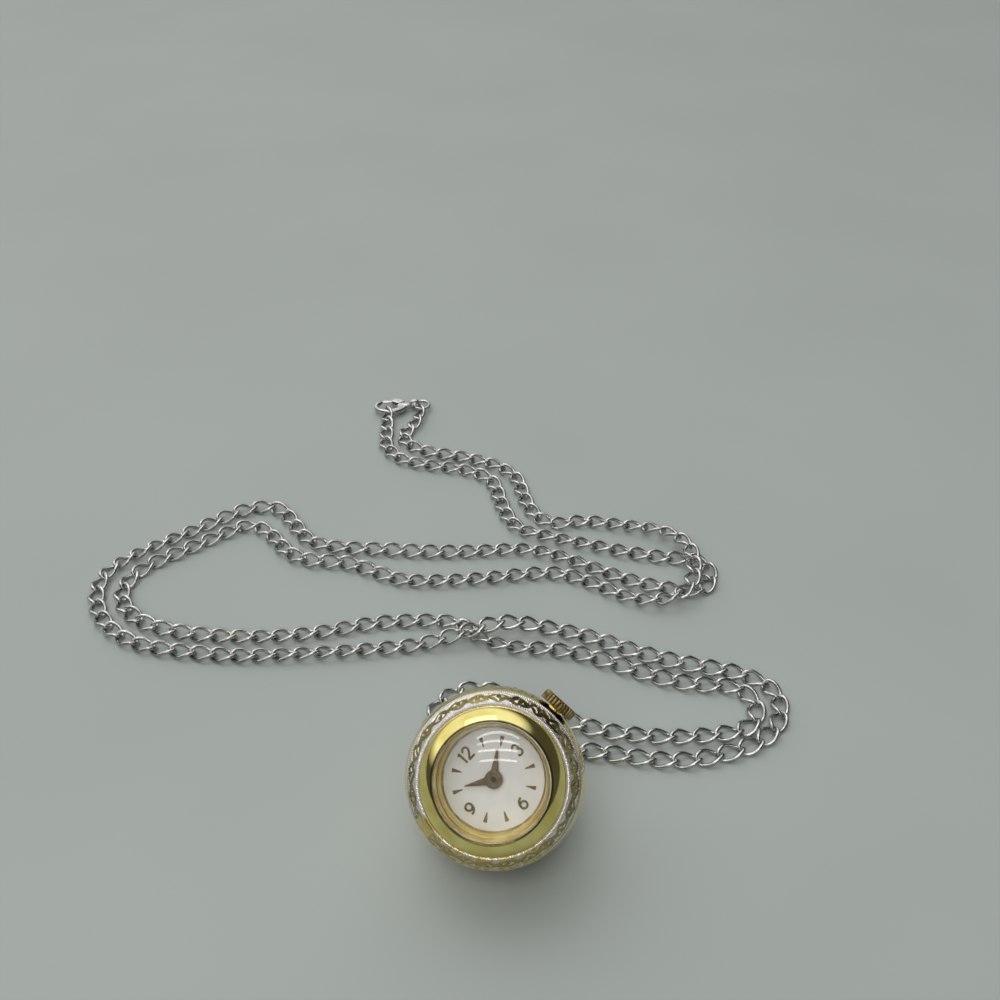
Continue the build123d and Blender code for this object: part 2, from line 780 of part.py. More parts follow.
def make_cannon_pinion():
    """Pinion and pipe that slip on the centre arbor and carry the minute hand."""
    pinion = toothed(cannon_leaves, motion_module, motion_low, motion_high)
    pinion += disc(cannon_radius, motion_low, minute_hand_top)
    return pinion - disc(cannon_bore, motion_low, minute_hand_top)


def make_hour_wheel():
    wheel = toothed(hour_teeth, motion_module, hour_wheel_low, hour_wheel_high, phase=hour_phase)
    wheel += disc(pipe_radius, hour_wheel_low, hour_hand_top)
    return wheel - disc(pipe_bore, hour_wheel_low, hour_hand_top)


def make_minute_wheel():
    wheel = toothed(minute_teeth, motion_module, motion_low, motion_high, minute_place, minute_phase)
    wheel += toothed(minute_leaves, motion_module, motion_high, hour_wheel_high, minute_place)
    return wheel - disc(post_radius + arbor_gap, motion_low, hour_wheel_high, minute_place)


def make_setting_wheel():
    wheel = toothed(setting_teeth, motion_module, motion_low, motion_high, setting_place, setting_phase)
    return wheel - disc(post_radius + arbor_gap, motion_low, motion_high, setting_place)


# Main plate and bridges
barrel_low = bridge_top + barrel_level
barrel_high = barrel_low + barrel_height
barrel_tip = barrel_module * (barrel_teeth / 2 + tooth_rise_share)
drum_radius = barrel_module * (barrel_teeth / 2 - tooth_drop_share) - arbor_gap
crown_wheel_tip = winding_module * (crown_wheel_teeth / 2 + tooth_rise_share)
ratchet_tip = winding_module * (ratchet_teeth / 2 + tooth_rise_share)
ratchet_high = sunk_floor - winding_wheel_gap
ratchet_low = ratchet_high - winding_wheel_thickness
lever_low = plate_top + motion_lift / 2
lever_high = lever_low + lever_thickness
lever_pin = (groove_start + stem_groove_width / 2, -lever_pin_place)
yoke_tip = (clutch_start + clutch_end + clutch_groove / 2, yoke_tip_place)
pivot_low = bridge_top - jewel_thickness
pivot_high = plate_bottom + jewel_thickness
clamp_screws = [
    polar(plate_radius - clamp_hold + clamp_long - clamp_screw_inset, angle) for angle in clamp_angles
]


def make_main_plate():
    plate = disc(plate_radius, plate_bottom, dial_back)
    clutch_room, pinion_room = clutch_radius + side_gap, winding_radius + window_gap
    pin_room = lever_pin_radius + arbor_gap
    cuts = [
        disc(plate_radius - rim_width, plate_top, dial_back),
        disc(barrel_tip + side_gap, plate_bottom, barrel_high + barrel_headroom, barrel_place),
        disc(barrel_pivot_radius + arbor_gap, plate_bottom, plate_top, barrel_place),
        disc(cannon_bore, plate_bottom, plate_top),
        block(
            clutch_start - clutch_travel - window_gap, winding_start, -clutch_room, clutch_room,
            plate_bottom, plate_top,
        ),
        block(
            winding_start - window_gap, winding_end + window_gap, -pinion_room, pinion_room,
            plate_bottom, plate_top,
        ),
        stem_rod(stem_radius + arbor_gap, winding_end, plate_radius),
        stem_rod(stem_pilot_radius + arbor_gap, pilot_start, clutch_start),
        block(
            lever_pin[0] - pin_room, lever_pin[0] + crown_travel + pin_room, -lever_pin_place - pin_room, 0,
            stem_height, plate_top,
        ),
        block(
            yoke_pivot_x, plate_radius, lever_pivot_y - lever_wide, lever_wide, plate_top, dial_back,
        ),
    ]
    cuts += [stud(jewel_radius, plate_bottom, pivot_high, place) for place in plate_jewel_places]
    cuts += [stud(screw_radius, plate_bottom, plate_top, place) for place in bridge_pillars]
    plate -= cuts
    plate += [disc(post_radius, plate_top, motion_high, place) for place in (minute_place, setting_place)]
    return plate + [disc(post_radius, plate_top, lever_high, place) for place in (lever_pivot, yoke_pivot)]


def make_bridge(apex, sector, pillars):
    """Sector of the movement's disc, cut along two straight edges, on its pillars."""
    start, step = sector[0], (sector[1] - sector[0]) / 3
    corners = [polar(2 * bridge_radius, start + step * k, apex) for k in range(4)]
    plate = flat([apex, *corners], bridge_bottom, bridge_top)
    plate &= disc(bridge_radius, bridge_bottom, bridge_top)
    plate += [stud(pillar_radius, bridge_top, plate_bottom, place) for place in pillars]
    plate -= [stud(screw_radius, bridge_bottom, plate_bottom, place) for place in pillars]
    head_high = bridge_bottom + screw_head_height
    return plate - [stud(screw_head_radius + fit_gap, bridge_bottom, head_high, place) for place in pillars]


def make_barrel_bridge():
    """Bridge over the barrel, sunk at the back for the two winding wheels and the click."""
    pinion_reach_down = sqrt(winding_radius**2 - (stem_height - bridge_top) ** 2) + side_gap
    bridge = make_bridge(barrel_corner, barrel_sector, barrel_pillars) - [
        disc(balance_radius + side_gap, bridge_bottom, bridge_top, balance_place),
        disc(ratchet_tip + side_gap, bridge_bottom, sunk_floor, barrel_place),
        disc(crown_wheel_tip + side_gap, bridge_bottom, sunk_floor, crown_place),
        disc(click_room, bridge_bottom, sunk_floor, click_place),
        disc(barrel_pivot_radius + arbor_gap, sunk_floor, bridge_top, barrel_place),
        block(
            winding_start - window_gap, winding_end + window_gap, -pinion_reach_down, pinion_reach_down,
            bridge_bottom, bridge_top,
        ),
    ]
    bridge += disc(crown_core_radius, ratchet_low, sunk_floor, crown_place)
    bridge += disc(click_pivot_radius, ratchet_low, sunk_floor, click_place)
    return bridge - stud(ratchet_screw_radius, ratchet_low, sunk_floor, crown_place)


def make_train_bridge():
    holes = [stud(jewel_radius, pivot_low, bridge_top, place) for place in train_jewels]
    holes.append(disc(cannon_bore, pivot_low, bridge_top))
    return make_bridge(train_corner, train_sector, train_pillars) - holes


def make_balance_cock():
    cock = bar(cock_pillar, balance_place, 2 * cock_pillar_radius, bridge_bottom, bridge_top)
    cock += disc(cock_head_radius, bridge_bottom, bridge_top, balance_place)
    cock += disc(cock_pillar_radius, bridge_top, plate_bottom, cock_pillar)
    cock += disc(regulator_boss, bridge_bottom - regulator_thickness, bridge_bottom, balance_place)
    head_high = bridge_bottom + screw_head_height
    return cock - [
        stud(screw_radius, bridge_bottom, plate_bottom, cock_pillar),
        stud(screw_head_radius + fit_gap, bridge_bottom, head_high, cock_pillar),
        stud(jewel_radius, pivot_low, bridge_top, balance_place),
    ]


def make_pallet_cock():
    low = bridge_top + pallet_cock_level
    high = low + pallet_cock_thickness
    cock = bar(pallet_pillar, pallet_place, 2 * pallet_pillar_radius, low, high)
    cock += disc(pallet_pillar_radius, high, plate_bottom, pallet_pillar)
    return cock - disc(arbor_radius + arbor_gap, low, high, pallet_place)


def make_jewels(low, high, places):
    jewel = stud(jewel_radius, low, high) - stud(arbor_radius + arbor_gap, low, high)
    return solids_of([Pos(*place, 0) * jewel for place in places])


def make_bridge_screws():
    head_high = bridge_bottom + screw_head_height
    return solids_of(
        [
            screw(place, bridge_bottom, head_high, plate_top, turn=screw_turn * k)
            for k, place in enumerate(bridge_pillars)
        ]
    )


def make_casing_clamps():
    tab = Box(clamp_long, clamp_wide, clamp_thickness, align=(Align.MIN, Align.CENTER, Align.MAX))
    tab = Pos(plate_radius - clamp_hold, 0, plate_bottom) * tab
    low = plate_bottom - clamp_thickness
    holes = [stud(screw_radius, low, plate_bottom, place) for place in clamp_screws]
    return solids_of([Rot(0, 0, angle) * tab - holes for angle in clamp_angles])


def make_clamp_screws():
    low = plate_bottom - clamp_thickness
    return solids_of(
        [screw(place, low - screw_head_height, low, plate_bottom + screw_reach) for place in clamp_screws]
    )


# Going train, from the barrel to the escape wheel
third_phase = meshing_phase(0, centre_teeth, third_leaves, third_angle)
fourth_phase = meshing_phase(0, third_teeth, fourth_leaves, fourth_angle)
escape_phase = meshing_phase(0, fourth_teeth, escape_leaves, escape_angle)
barrel_phase = meshing_phase(0, centre_leaves, barrel_teeth, barrel_angle)


def train_wheel(level, teeth, module, leaves, leaf_module, leaf_level, place, phase):
    """Wheel riveted to its pinion, with the arbor's pivots in two jewels."""
    low, leaf_low = bridge_top + level, bridge_top + leaf_level - arbor_gap
    leaf_high = leaf_low + wheel_thickness + pinion_reach
    wheel = toothed(teeth, module, low, low + wheel_thickness, place)
    wheel += toothed(leaves, leaf_module, leaf_low, leaf_high, place, phase)
    return wheel + disc(arbor_radius, pivot_low, pivot_high, place)


def make_centre_wheel():
    """Wheel, pinion and long arbor that turn once an hour; the cannon pinion grips the arbor."""
    low = bridge_top + centre_level
    wheel = toothed(centre_teeth, centre_module, low, low + wheel_thickness)
    wheel += toothed(centre_leaves, barrel_module, low + wheel_thickness, plate_bottom - arbor_gap)
    return wheel + disc(centre_arbor_radius, pivot_low, minute_hand_top)


def make_third_wheel():
    return train_wheel(
        third_level, third_teeth, third_module, third_leaves, centre_module, centre_level,
        third_place, third_phase,
    )


def make_fourth_wheel():
    return train_wheel(
        fourth_level, fourth_teeth, fourth_module, fourth_leaves, third_module, third_level,
        fourth_place, fourth_phase,
    )


def make_escape_wheel():
    """Wheel of hooked teeth on a pinion that the fourth wheel drives."""
    low = bridge_top + escape_level
    step = 360 / escape_teeth
    points = []
    for k in range(escape_teeth):
        points.append(polar(escape_root, step * k - escape_hook, escape_place))
        points.append(polar(escape_root, step * k + escape_hook * escape_back_share, escape_place))
        points.append(polar(escape_radius, step * k + escape_hook, escape_place))
    wheel = flat(points, low, low + wheel_thickness)
    leaf_low = bridge_top + fourth_level - arbor_gap
    wheel += toothed(escape_leaves, fourth_module, leaf_low, low, escape_place, escape_phase)
    return wheel + disc(arbor_radius, pivot_low, pivot_high, escape_place)


def make_barrel_drum():
    """Open drum with the great wheel's teeth round its floor."""
    floor = barrel_low + barrel_flange
    drum = toothed(barrel_teeth, barrel_module, barrel_low, floor, barrel_place, barrel_phase)
    drum += disc(drum_radius, barrel_low, barrel_high - barrel_lid, barrel_place)
    drum -= disc(drum_radius - barrel_wall, floor, barrel_high, barrel_place)
    return drum - disc(barrel_pivot_radius + arbor_gap, barrel_low, barrel_high, barrel_place)


def make_barrel_cover():
    bore = barrel_pivot_radius + arbor_gap
    return ring(drum_radius, bore, barrel_high - barrel_lid, barrel_high, barrel_place)


spring_low = barrel_low + barrel_flange + arbor_gap
spring_high = barrel_high - barrel_lid - arbor_gap


def make_mainspring():
    inner = barrel_arbor_radius + mainspring_strip
    outer = drum_radius - barrel_wall - mainspring_strip
    return spiral(inner, outer, mainspring_turns, mainspring_strip, spring_low, spring_high, barrel_place)


def make_barrel_arbor():
    """Arbor that winds the spring, with a square for the ratchet wheel and a tapped hole."""
    arbor = disc(barrel_arbor_radius, spring_low, spring_high, barrel_place)
    arbor += disc(barrel_pivot_radius, ratchet_high, plate_top, barrel_place)
    arbor += turned_box(ratchet_square, ratchet_square, ratchet_low, ratchet_high, barrel_place, 0, upright)
    return arbor - stud(ratchet_screw_radius, ratchet_low, ratchet_low + screw_reach, barrel_place)


# Winding and setting work
crown_direction = degrees(atan2(crown_place[1] - barrel_place[1], crown_place[0] - barrel_place[0]))
crown_wheel_phase = meshing_phase(0, ratchet_teeth, crown_wheel_teeth, crown_direction)
gap_angle = (crown_wheel_phase + 180 / crown_wheel_teeth) % (360 / crown_wheel_teeth)
winding_phase = gap_angle * crown_wheel_teeth / winding_teeth


def make_ratchet_wheel():
    wheel = toothed(ratchet_teeth, winding_module, ratchet_low, ratchet_high, barrel_place)
    hole = ratchet_square + 2 * fit_gap
    return wheel - turned_box(hole, hole, ratchet_low, ratchet_high, barrel_place, 0, upright)


def make_crown_wheel():
    wheel = toothed(
        crown_wheel_teeth, winding_module, ratchet_low, ratchet_high, crown_place, crown_wheel_phase
    )
    return wheel - disc(crown_core_radius + arbor_gap, ratchet_low, ratchet_high, crown_place)


def core_screw(place, end):
    """Broad slotted screw that keeps a winding wheel on its core."""
    low = ratchet_low - arbor_gap - core_head_height
    return screw(
        place, low, low + core_head_height, end, radius=ratchet_screw_radius - fit_gap,
        head_radius=core_head_radius,
    )


def make_crown_wheel_screw():
    return core_screw(crown_place, sunk_floor)


def make_ratchet_screw():
    return core_screw(barrel_place, ratchet_low + screw_reach)


click_direction = degrees(atan2(barrel_place[1] - click_place[1], barrel_place[0] - click_place[0]))
click_reach = click_distance - ratchet_tip + click_bite


def make_click():
    """Pawl on its stud, with its point between two teeth of the ratchet wheel."""
    tip = polar(click_reach, click_direction, click_place)
    sides = (click_direction + click_shoulder, click_direction - click_shoulder)
    pawl = flat([*(polar(click_wide, side, click_place) for side in sides), tip], ratchet_low, ratchet_high)
    pawl += disc(click_wide, ratchet_low, ratchet_high, click_place)
    return pawl - disc(click_pivot_radius + arbor_gap, ratchet_low, ratchet_high, click_place)


def make_click_spring():
    """Bent strip that presses the click towards the ratchet wheel."""
    radius = click_wide + click_spring_wire / 2 + click_play
    ends = [polar(radius, click_direction + angle, click_place) for angle in click_spring_angles]
    return bar(*ends, click_spring_wire, ratchet_low, sunk_floor)


def make_winding_pinion():
    """Pinion that turns freely on the stem, with its lowest teeth between the crown wheel's."""
    points = []
    for k in range(winding_teeth):
        angle = winding_phase + 360 * k / winding_teeth
        points.append(polar(winding_radius, angle))
        points.append(polar(winding_radius - winding_tooth, angle + 180 / winding_teeth))
    wheel = flat(points, 0, winding_width) - disc(stem_radius + arbor_gap, 0, winding_width)
    return Pos(winding_start, 0, stem_height) * Rot(0, 90, 0) * wheel


def make_clutch():
    """Sliding pinion on the stem's square, with a waist for the yoke."""
    waist_start = clutch_start + clutch_end
    waist_end = waist_start + clutch_groove
    sleeve = stem_rod(clutch_radius, clutch_start, waist_start)
    sleeve += stem_rod(clutch_waist, waist_start, waist_end)
    sleeve += stem_rod(clutch_radius, waist_end, clutch_stop)
    return sleeve - stem_key(fit_gap, clutch_start, clutch_stop)


def make_setting_lever():
    """Lever under the dial whose pin stands in the stem's groove."""
    lever = bar(lever_pivot, lever_pin, lever_wide, lever_low, lever_high)
    lever -= disc(post_radius + arbor_gap, lever_low, lever_high, lever_pivot)
    return lever + disc(lever_pin_radius, stem_height, lever_low, lever_pin)


def make_yoke():
    """Lever under the dial whose finger stands in the clutch's waist and shifts it."""
    yoke = bar(yoke_pivot, yoke_tip, yoke_wide, lever_low, lever_high)
    yoke -= disc(post_radius + arbor_gap, lever_low, lever_high, yoke_pivot)
    return yoke + disc(yoke_wide / 2, stem_height + clutch_waist + arbor_gap, lever_low, yoke_tip)


# Escapement and balance
def make_pallet_fork():
    """Lever with two stones over the escape wheel and a notch for the balance's pin."""
    low = bridge_top + escape_level
    high = low + wheel_thickness
    back = pallet_angle + 180
    fork = disc(pallet_bar, low, high, pallet_place)
    for side in (pallet_spread, -pallet_spread):
        elbow = polar(pallet_arm, back + side, pallet_place)
        fork += bar(pallet_place, elbow, pallet_bar, low, high)
        fork += bar(elbow, polar(pallet_stone_long, back, elbow), pallet_stone_wide, low, high)
    end = polar(fork_long, balance_angle, pallet_place)
    fork += bar(pallet_place, end, pallet_bar, low, high)
    fork += turned_box(fork_slot_depth, fork_head, low, high, end, balance_angle)
    fork -= turned_box(fork_slot_depth, fork_slot, low, high, end, balance_angle)
    return fork + disc(arbor_radius, bridge_top + pallet_cock_level, pivot_high, pallet_place)


def make_balance_wheel():
    low = bridge_top + balance_level
    high = low + balance_thickness
    wheel = ring(balance_radius, balance_radius - balance_rim, low, high, balance_place)
    for k in range(balance_arms):
        end = polar(balance_radius - balance_rim / 2, 360 * k / balance_arms, balance_place)
        wheel += bar(balance_place, end, pallet_bar, low, high)
    wheel += disc(roller_radius, low, high, balance_place)
    return wheel - disc(arbor_radius, low, high, balance_place)


def make_balance_staff():
    """Staff with the hairspring's collet and the roller whose pin stands in the fork's notch."""
    roller_low = bridge_top + balance_level + balance_thickness
    fork_low = bridge_top + escape_level
    roller_high = fork_low - 2 * arbor_gap
    pin_place = polar(impulse_place, balance_angle + 180, balance_place)
    collet = bridge_top + hairspring_level
    staff = disc(arbor_radius, pivot_low, pivot_high, balance_place)
    staff += disc(hairspring_inner - hairspring_strip, collet, collet + hairspring_height, balance_place)
    staff += bar(balance_place, pin_place, 2 * roller_radius, roller_low, roller_high)
    return staff + disc(impulse_radius, roller_high, fork_low + wheel_thickness, pin_place)


def make_hairspring():
    low = bridge_top + hairspring_level
    return spiral(
        hairspring_inner, hairspring_outer, hairspring_turns, hairspring_strip, low,
        low + hairspring_height, balance_place,
    )


def make_regulator():
    """Ring round the cock's boss, with a pointer that sets the rate."""
    low = bridge_bottom - regulator_thickness
    pointer = polar(regulator_long, regulator_angle, balance_place)
    regulator = bar(balance_place, pointer, regulator_wide, low, bridge_bottom)
    regulator += disc(regulator_ring, low, bridge_bottom, balance_place)
    return regulator - disc(regulator_boss + arbor_gap, low, bridge_bottom, balance_place)


# Chain
link_half_long = (link_pitch + wire + link_play) / 2


def link_point(angle):
    """Middle of the wire: an oval whose two ends are rolled opposite ways about its length."""
    roll = radians(link_twist * cos(radians(angle)))
    across = link_half_width * sin(radians(angle))
    return Vector(link_half_long * cos(radians(angle)), across * cos(roll), across * sin(roll))


def make_link():
    """One curb link of round wire, in flat facets, with its length along X."""
    rows = []
    for k in range(link_stations):
        angle, half_step = 360 * k / link_stations, 180 / link_stations
        along = (link_point(angle + half_step) - link_point(angle - half_step)).normalized()
        out = along.cross(Vector(0, 0, 1).rotate(Axis.X, link_twist * cos(radians(angle)))).normalized()
        face = out.cross(along)
        row = []
        for side in range(wire_sides):
            turn = radians(360 * side / wire_sides)
            row.append(link_point(angle) + (out * cos(turn) + face * sin(turn)) * (wire / 2))
        rows.append(row)
    faces = []
    for k in range(link_stations):
        row, next_row = rows[k], rows[(k + 1) % link_stations]
        for side in range(wire_sides):
            other = (side + 1) % wire_sides
            corners = (row[side], next_row[side], next_row[other], row[other])
            for third in (1, 2):
                triangle = [corners[0], corners[third], corners[third + 1]]
                faces.append(Face(Wire.make_polygon(triangle, close=True)))
    return Solid(Shell(faces))


def route_line(points):
    """Smooth line that each inner point bends and that passes the middle of each inner run."""
    points = [Vector(*point) for point in points]
    joints = [points[0], *((a + b) / 2 for a, b in zip(points[1:-2], points[2:-1])), points[-1]]
    return Wire([Bezier(start, point, end) for start, point, end in zip(joints, points[1:-1], joints[1:])])


def make_strand(name, start, route, end):
    """Links along a route, each facing the way that it runs, with the end links on edge."""
    line = route_line([start, *route, end])
    count = round(line.length / link_pitch)
    link = make_link()
    rolls = dict(enumerate(hook_rolls))
    rolls.update({count - k: -roll for k, roll in enumerate(hook_rolls)})
    links = []
    for k in range(count + 1):
        place = line.position_at(line.length * k / count, position_mode=PositionMode.LENGTH)
        along = line.tangent_at(line.length * k / count, position_mode=PositionMode.LENGTH)
        frame = Plane(origin=place, x_dir=along, z_dir=Vector(0, 0, 1) - along * along.Z)
        links.append(link.moved(frame.location * Rot(rolls.get(k, 0), 0, 0)))
    pitch = line.length / count
    print(name, len(links), "links,", round(line.length, 1), "mm, pitch", round(pitch, 3), "mm")
    return Compound(links)


# Clasp, drawn about the middle of its mouth with its tail along X
trigger_pin = (trigger_pin_x, trigger_pin_y)
spring_start = trigger_pin_x + trigger_tail + trigger_gap


def oval(half_long, half_wide, thickness, shift=0):
    return Pos(shift, 0, -thickness / 2) * extrude(Ellipse(half_long, half_wide), amount=thickness)


def make_mouth(thickness):
    return oval(clasp_mouth_long, clasp_mouth_wide, thickness, -clasp_mouth_shift)


def make_clasp_body():
    """Claw with an open mouth, a slit for the trigger and an eye across the tail."""
    claw = oval(clasp_half_long, clasp_half_wide, clasp_thickness) - make_mouth(clasp_thickness)
    claw = chamfer(claw.edges().filter_by(GeomType.ELLIPSE), clasp_edge)
    from_mouth = (Align.MIN, Align.CENTER, Align.CENTER)
    tail = Box(clasp_eye_place, clasp_tail_wide, clasp_thickness, align=from_mouth)
    tail = chamfer(tail.edges().filter_by(Axis.X), clasp_edge)
    turn = Pos(clasp_eye_place, 0, 0) * Rot(90, 0, 0)
    tail = tail - make_mouth(2 * clasp_thickness)
    body = claw + tail + turn * Cylinder(clasp_eye_radius, clasp_tail_wide)
    reach = 2 * clasp_half_wide
    body -= [
        turn * Cylinder(clasp_eye_hole, 2 * clasp_tail_wide),
        block(clasp_gap_start, clasp_gap_end, 0, reach, -clasp_thickness, clasp_thickness),
        block(clasp_gap_start, spring_start + spring_strip + trigger_gap, clasp_slit_floor, reach,
              -clasp_slit / 2, clasp_slit / 2),
        disc(trigger_pin_radius + fit_gap, -clasp_thickness, clasp_thickness, trigger_pin),
    ]
    return clasp_place * body


def make_clasp_trigger():
    """Lever that closes the mouth, with a nub for the thumb."""
    low, high = -trigger_thickness / 2, trigger_thickness / 2
    lever = oval(clasp_half_long, clasp_half_wide, trigger_thickness)
    lever -= make_mouth(2 * trigger_thickness)
    keep = block(
        clasp_gap_start + trigger_gap, trigger_pin_x, clasp_slit_floor + trigger_lift, 2 * clasp_half_wide,
        low, high,
    )
    lever = (lever & keep) + disc(trigger_tail, low, high, trigger_pin)
    lever += disc(trigger_thumb, low, high, (trigger_thumb_x, clasp_half_wide))
    return clasp_place * (lever - disc(trigger_pin_radius + fit_gap, low, high, trigger_pin))


def make_clasp_pin():
    return clasp_place * disc(trigger_pin_radius, -clasp_thickness / 2, clasp_thickness / 2, trigger_pin)


def make_clasp_spring():
    """Leaf that bears on the trigger's tail."""
    high = trigger_pin_y + trigger_tail
    leaf = block(
        spring_start, spring_start + spring_strip, clasp_slit_floor, high,
        -trigger_thickness / 2, trigger_thickness / 2,
    )
    return clasp_place * leaf


def make_tail_ring():
    return Pos(*tail_centre) * wire_ring(tail_ring_radius, tail_ring_wire)


# Where the strands meet the bail's ring, the claw's lower bar and the tail ring
def link_reach(ring_wire):
    """Distance from the middle of a ring's wire to the middle of the link on it."""
    return link_half_long - wire / 2 - ring_wire / 2 - ring_play


def on_ring(centre, radius, ring_wire, towards):
    """Middle of the link on a ring that leads off towards a point."""
    return centre + (Vector(*towards) - centre).normalized() * (radius + link_reach(ring_wire))


hook_share = (clasp_hook_place + clasp_mouth_shift) / clasp_mouth_long
hook_inner = -clasp_mouth_wide * sqrt(1 - hook_share**2)
hook_middle = hook_inner + ring_play + wire / 2 - link_half_long
tail_centre = (clasp_place * Pos(clasp_eye_place + tail_ring_radius, 0, 0)).position
outer_start = on_ring(ring_centre, bail_ring_radius, bail_ring_wire, outer_strand_route[0])
inner_start = on_ring(ring_centre, bail_ring_radius, bail_ring_wire, inner_strand_route[0])
outer_end = (clasp_place * Pos(clasp_hook_place, hook_middle, 0)).position
inner_end = on_ring(tail_centre, tail_ring_radius, tail_ring_wire, inner_strand_route[-1])


watch_pieces = {
    "case_front": make_case_front,
    "case_back": make_case_back,
    "filigree_band": make_filigree_band,
    "bezel": make_bezel,
    "crystal": make_crystal,
    "reflector_ring": make_reflector_ring,
    "casing_ring": make_casing_ring,
    "casing_clamps": make_casing_clamps,
    "clamp_screws": make_clamp_screws,
    "bail_eye": make_bail_eye,
    "crown": make_crown,
    "case_tube": make_case_tube,
    "stem": make_stem,
    "dial": make_dial,
    "hour_markers": make_hour_markers,
    "cannon_pinion": make_cannon_pinion,
    "hour_wheel": make_hour_wheel,
    "minute_wheel": make_minute_wheel,
    "setting_wheel": make_setting_wheel,
    "main_plate": make_main_plate,
    "barrel_bridge": make_barrel_bridge,
    "train_bridge": make_train_bridge,
    "balance_cock": make_balance_cock,
    "pallet_cock": make_pallet_cock,
    "bridge_screws": make_bridge_screws,
    "barrel_drum": make_barrel_drum,
    "barrel_cover": make_barrel_cover,
    "mainspring": make_mainspring,
    "barrel_arbor": make_barrel_arbor,
    "centre_wheel": make_centre_wheel,
    "third_wheel": make_third_wheel,
    "fourth_wheel": make_fourth_wheel,
    "escape_wheel": make_escape_wheel,
    "pallet_fork": make_pallet_fork,
    "balance_wheel": make_balance_wheel,
    "balance_staff": make_balance_staff,
    "hairspring": make_hairspring,
    "regulator": make_regulator,
    "ratchet_wheel": make_ratchet_wheel,
    "ratchet_screw": make_ratchet_screw,
    "crown_wheel": make_crown_wheel,
    "crown_wheel_screw": make_crown_wheel_screw,
    "click": make_click,
    "click_spring": make_click_spring,
    "winding_pinion": make_winding_pinion,
    "clutch": make_clutch,
    "setting_lever": make_setting_lever,
    "yoke": make_yoke,
}
loose_pieces = {
    "bail_ring": make_bail_ring,
    "clasp_body": make_clasp_body,
    "clasp_trigger": make_clasp_trigger,
    "clasp_pin": make_clasp_pin,
    "clasp_spring": make_clasp_spring,
    "tail_ring": make_tail_ring,
}


def main():
    os.makedirs("parts", exist_ok=True)
    pieces = {name: watch_place * make() for name, make in watch_pieces.items()}
    hour_hand = make_hand(hour_hand_length, hour_tip, hour_hand_top, hour_hand_angle, pipe_radius + fit_gap)
    minute_hand = make_hand(
        minute_hand_length, minute_tip, minute_hand_top, minute_hand_angle, cannon_radius + fit_gap
    )
    pieces["hour_hand"] = watch_place * hour_hand
    pieces["minute_hand"] = watch_place * minute_hand
    pieces["plate_jewels"] = watch_place * make_jewels(plate_bottom, pivot_high, plate_jewel_places)
    bridge_jewels = make_jewels(pivot_low, bridge_top, train_jewels + [balance_place])
    pieces["bridge_jewels"] = watch_place * bridge_jewels
    pieces.update({name: make() for name, make in loose_pieces.items()})
    pieces["chain_outer_strand"] = make_strand("outer", outer_start, outer_strand_route, outer_end)
    pieces["chain_inner_strand"] = make_strand("inner", inner_start, inner_strand_route, inner_end)
    for name, piece in pieces.items():
        export_step(piece, f"parts/{name}.step")
    print(len(pieces), "pieces")


main()
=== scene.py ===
import bmesh
import bpy
import numpy as np
from math import cos, pi, radians, sin
from mathutils import Matrix


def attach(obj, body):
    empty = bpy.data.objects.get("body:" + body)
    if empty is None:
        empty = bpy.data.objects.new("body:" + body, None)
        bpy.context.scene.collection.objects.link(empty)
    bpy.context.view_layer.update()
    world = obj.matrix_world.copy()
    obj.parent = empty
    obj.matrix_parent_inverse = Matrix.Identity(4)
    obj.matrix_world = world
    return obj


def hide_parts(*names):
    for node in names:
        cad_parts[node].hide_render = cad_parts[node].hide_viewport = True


# Ball pendant watch on a doubled curb chain. Sizes are millimetres until they reach a mesh.
# Watch pieces are drawn about the ball's centre, +Z out through the dial, +Y to twelve.
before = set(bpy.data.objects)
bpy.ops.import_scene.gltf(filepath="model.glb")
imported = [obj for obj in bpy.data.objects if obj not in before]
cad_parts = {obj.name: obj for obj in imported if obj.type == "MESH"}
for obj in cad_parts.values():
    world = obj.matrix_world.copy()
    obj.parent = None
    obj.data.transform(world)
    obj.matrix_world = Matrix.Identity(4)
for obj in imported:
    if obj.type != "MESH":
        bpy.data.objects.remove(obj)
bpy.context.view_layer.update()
scene = bpy.context.scene
scene.view_settings.view_transform = 'Standard'
mm = 0.001
mergeReach = 0.0002      # points of a piece nearer than this become one
print("frame loaded,", len(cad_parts), "nodes")


# Places as 4x4 arrays
def turn(axis, degrees):
    c, s = cos(radians(degrees)), sin(radians(degrees))
    place = np.eye(4)
    first, second = {'X': (1, 2), 'Y': (2, 0), 'Z': (0, 1)}[axis]
    place[first, first] = place[second, second] = c
    place[first, second], place[second, first] = -s, s
    return place


def shift(x, y, z):
    place = np.eye(4)
    place[:3, 3] = (x, y, z)
    return place


def moved(points, place):
    return points @ place[:3, :3].T + place[:3, 3]


def unit(rows):
    return rows / np.linalg.norm(rows, axis=-1, keepdims=True)


def fullTurn(count):      # angles all the way round
    return np.linspace(0, 2 * pi, count, endpoint=False)


# Pose of the watch: it leans back until the eye of its bail rests on the table too
ball = {"radius": 11.0, "elevation": 46.6, "turn": -3.75, "roll": 51.0, "stem": 1.2, "eye": 1.3}
onTable = shift(0, 0, ball["radius"]) @ turn('Z', ball["turn"]) @ turn('X', 90 - ball["elevation"])
inWatch = onTable @ turn('Z', ball["roll"])
onStem = inWatch @ shift(0, 0, ball["stem"]) @ turn('Y', 90)      # Z runs out along the stem
bailDrop = (ball["radius"] - ball["eye"]) / sin(radians(ball["elevation"]))
bailEye = moved(np.array([0, 0, -bailDrop]), inWatch)
inEye = onTable @ shift(0, 0, -bailDrop) @ turn('Y', 90)
clasp = shift(-20.5, 97.8, 1.08) @ turn('Z', 6.0)


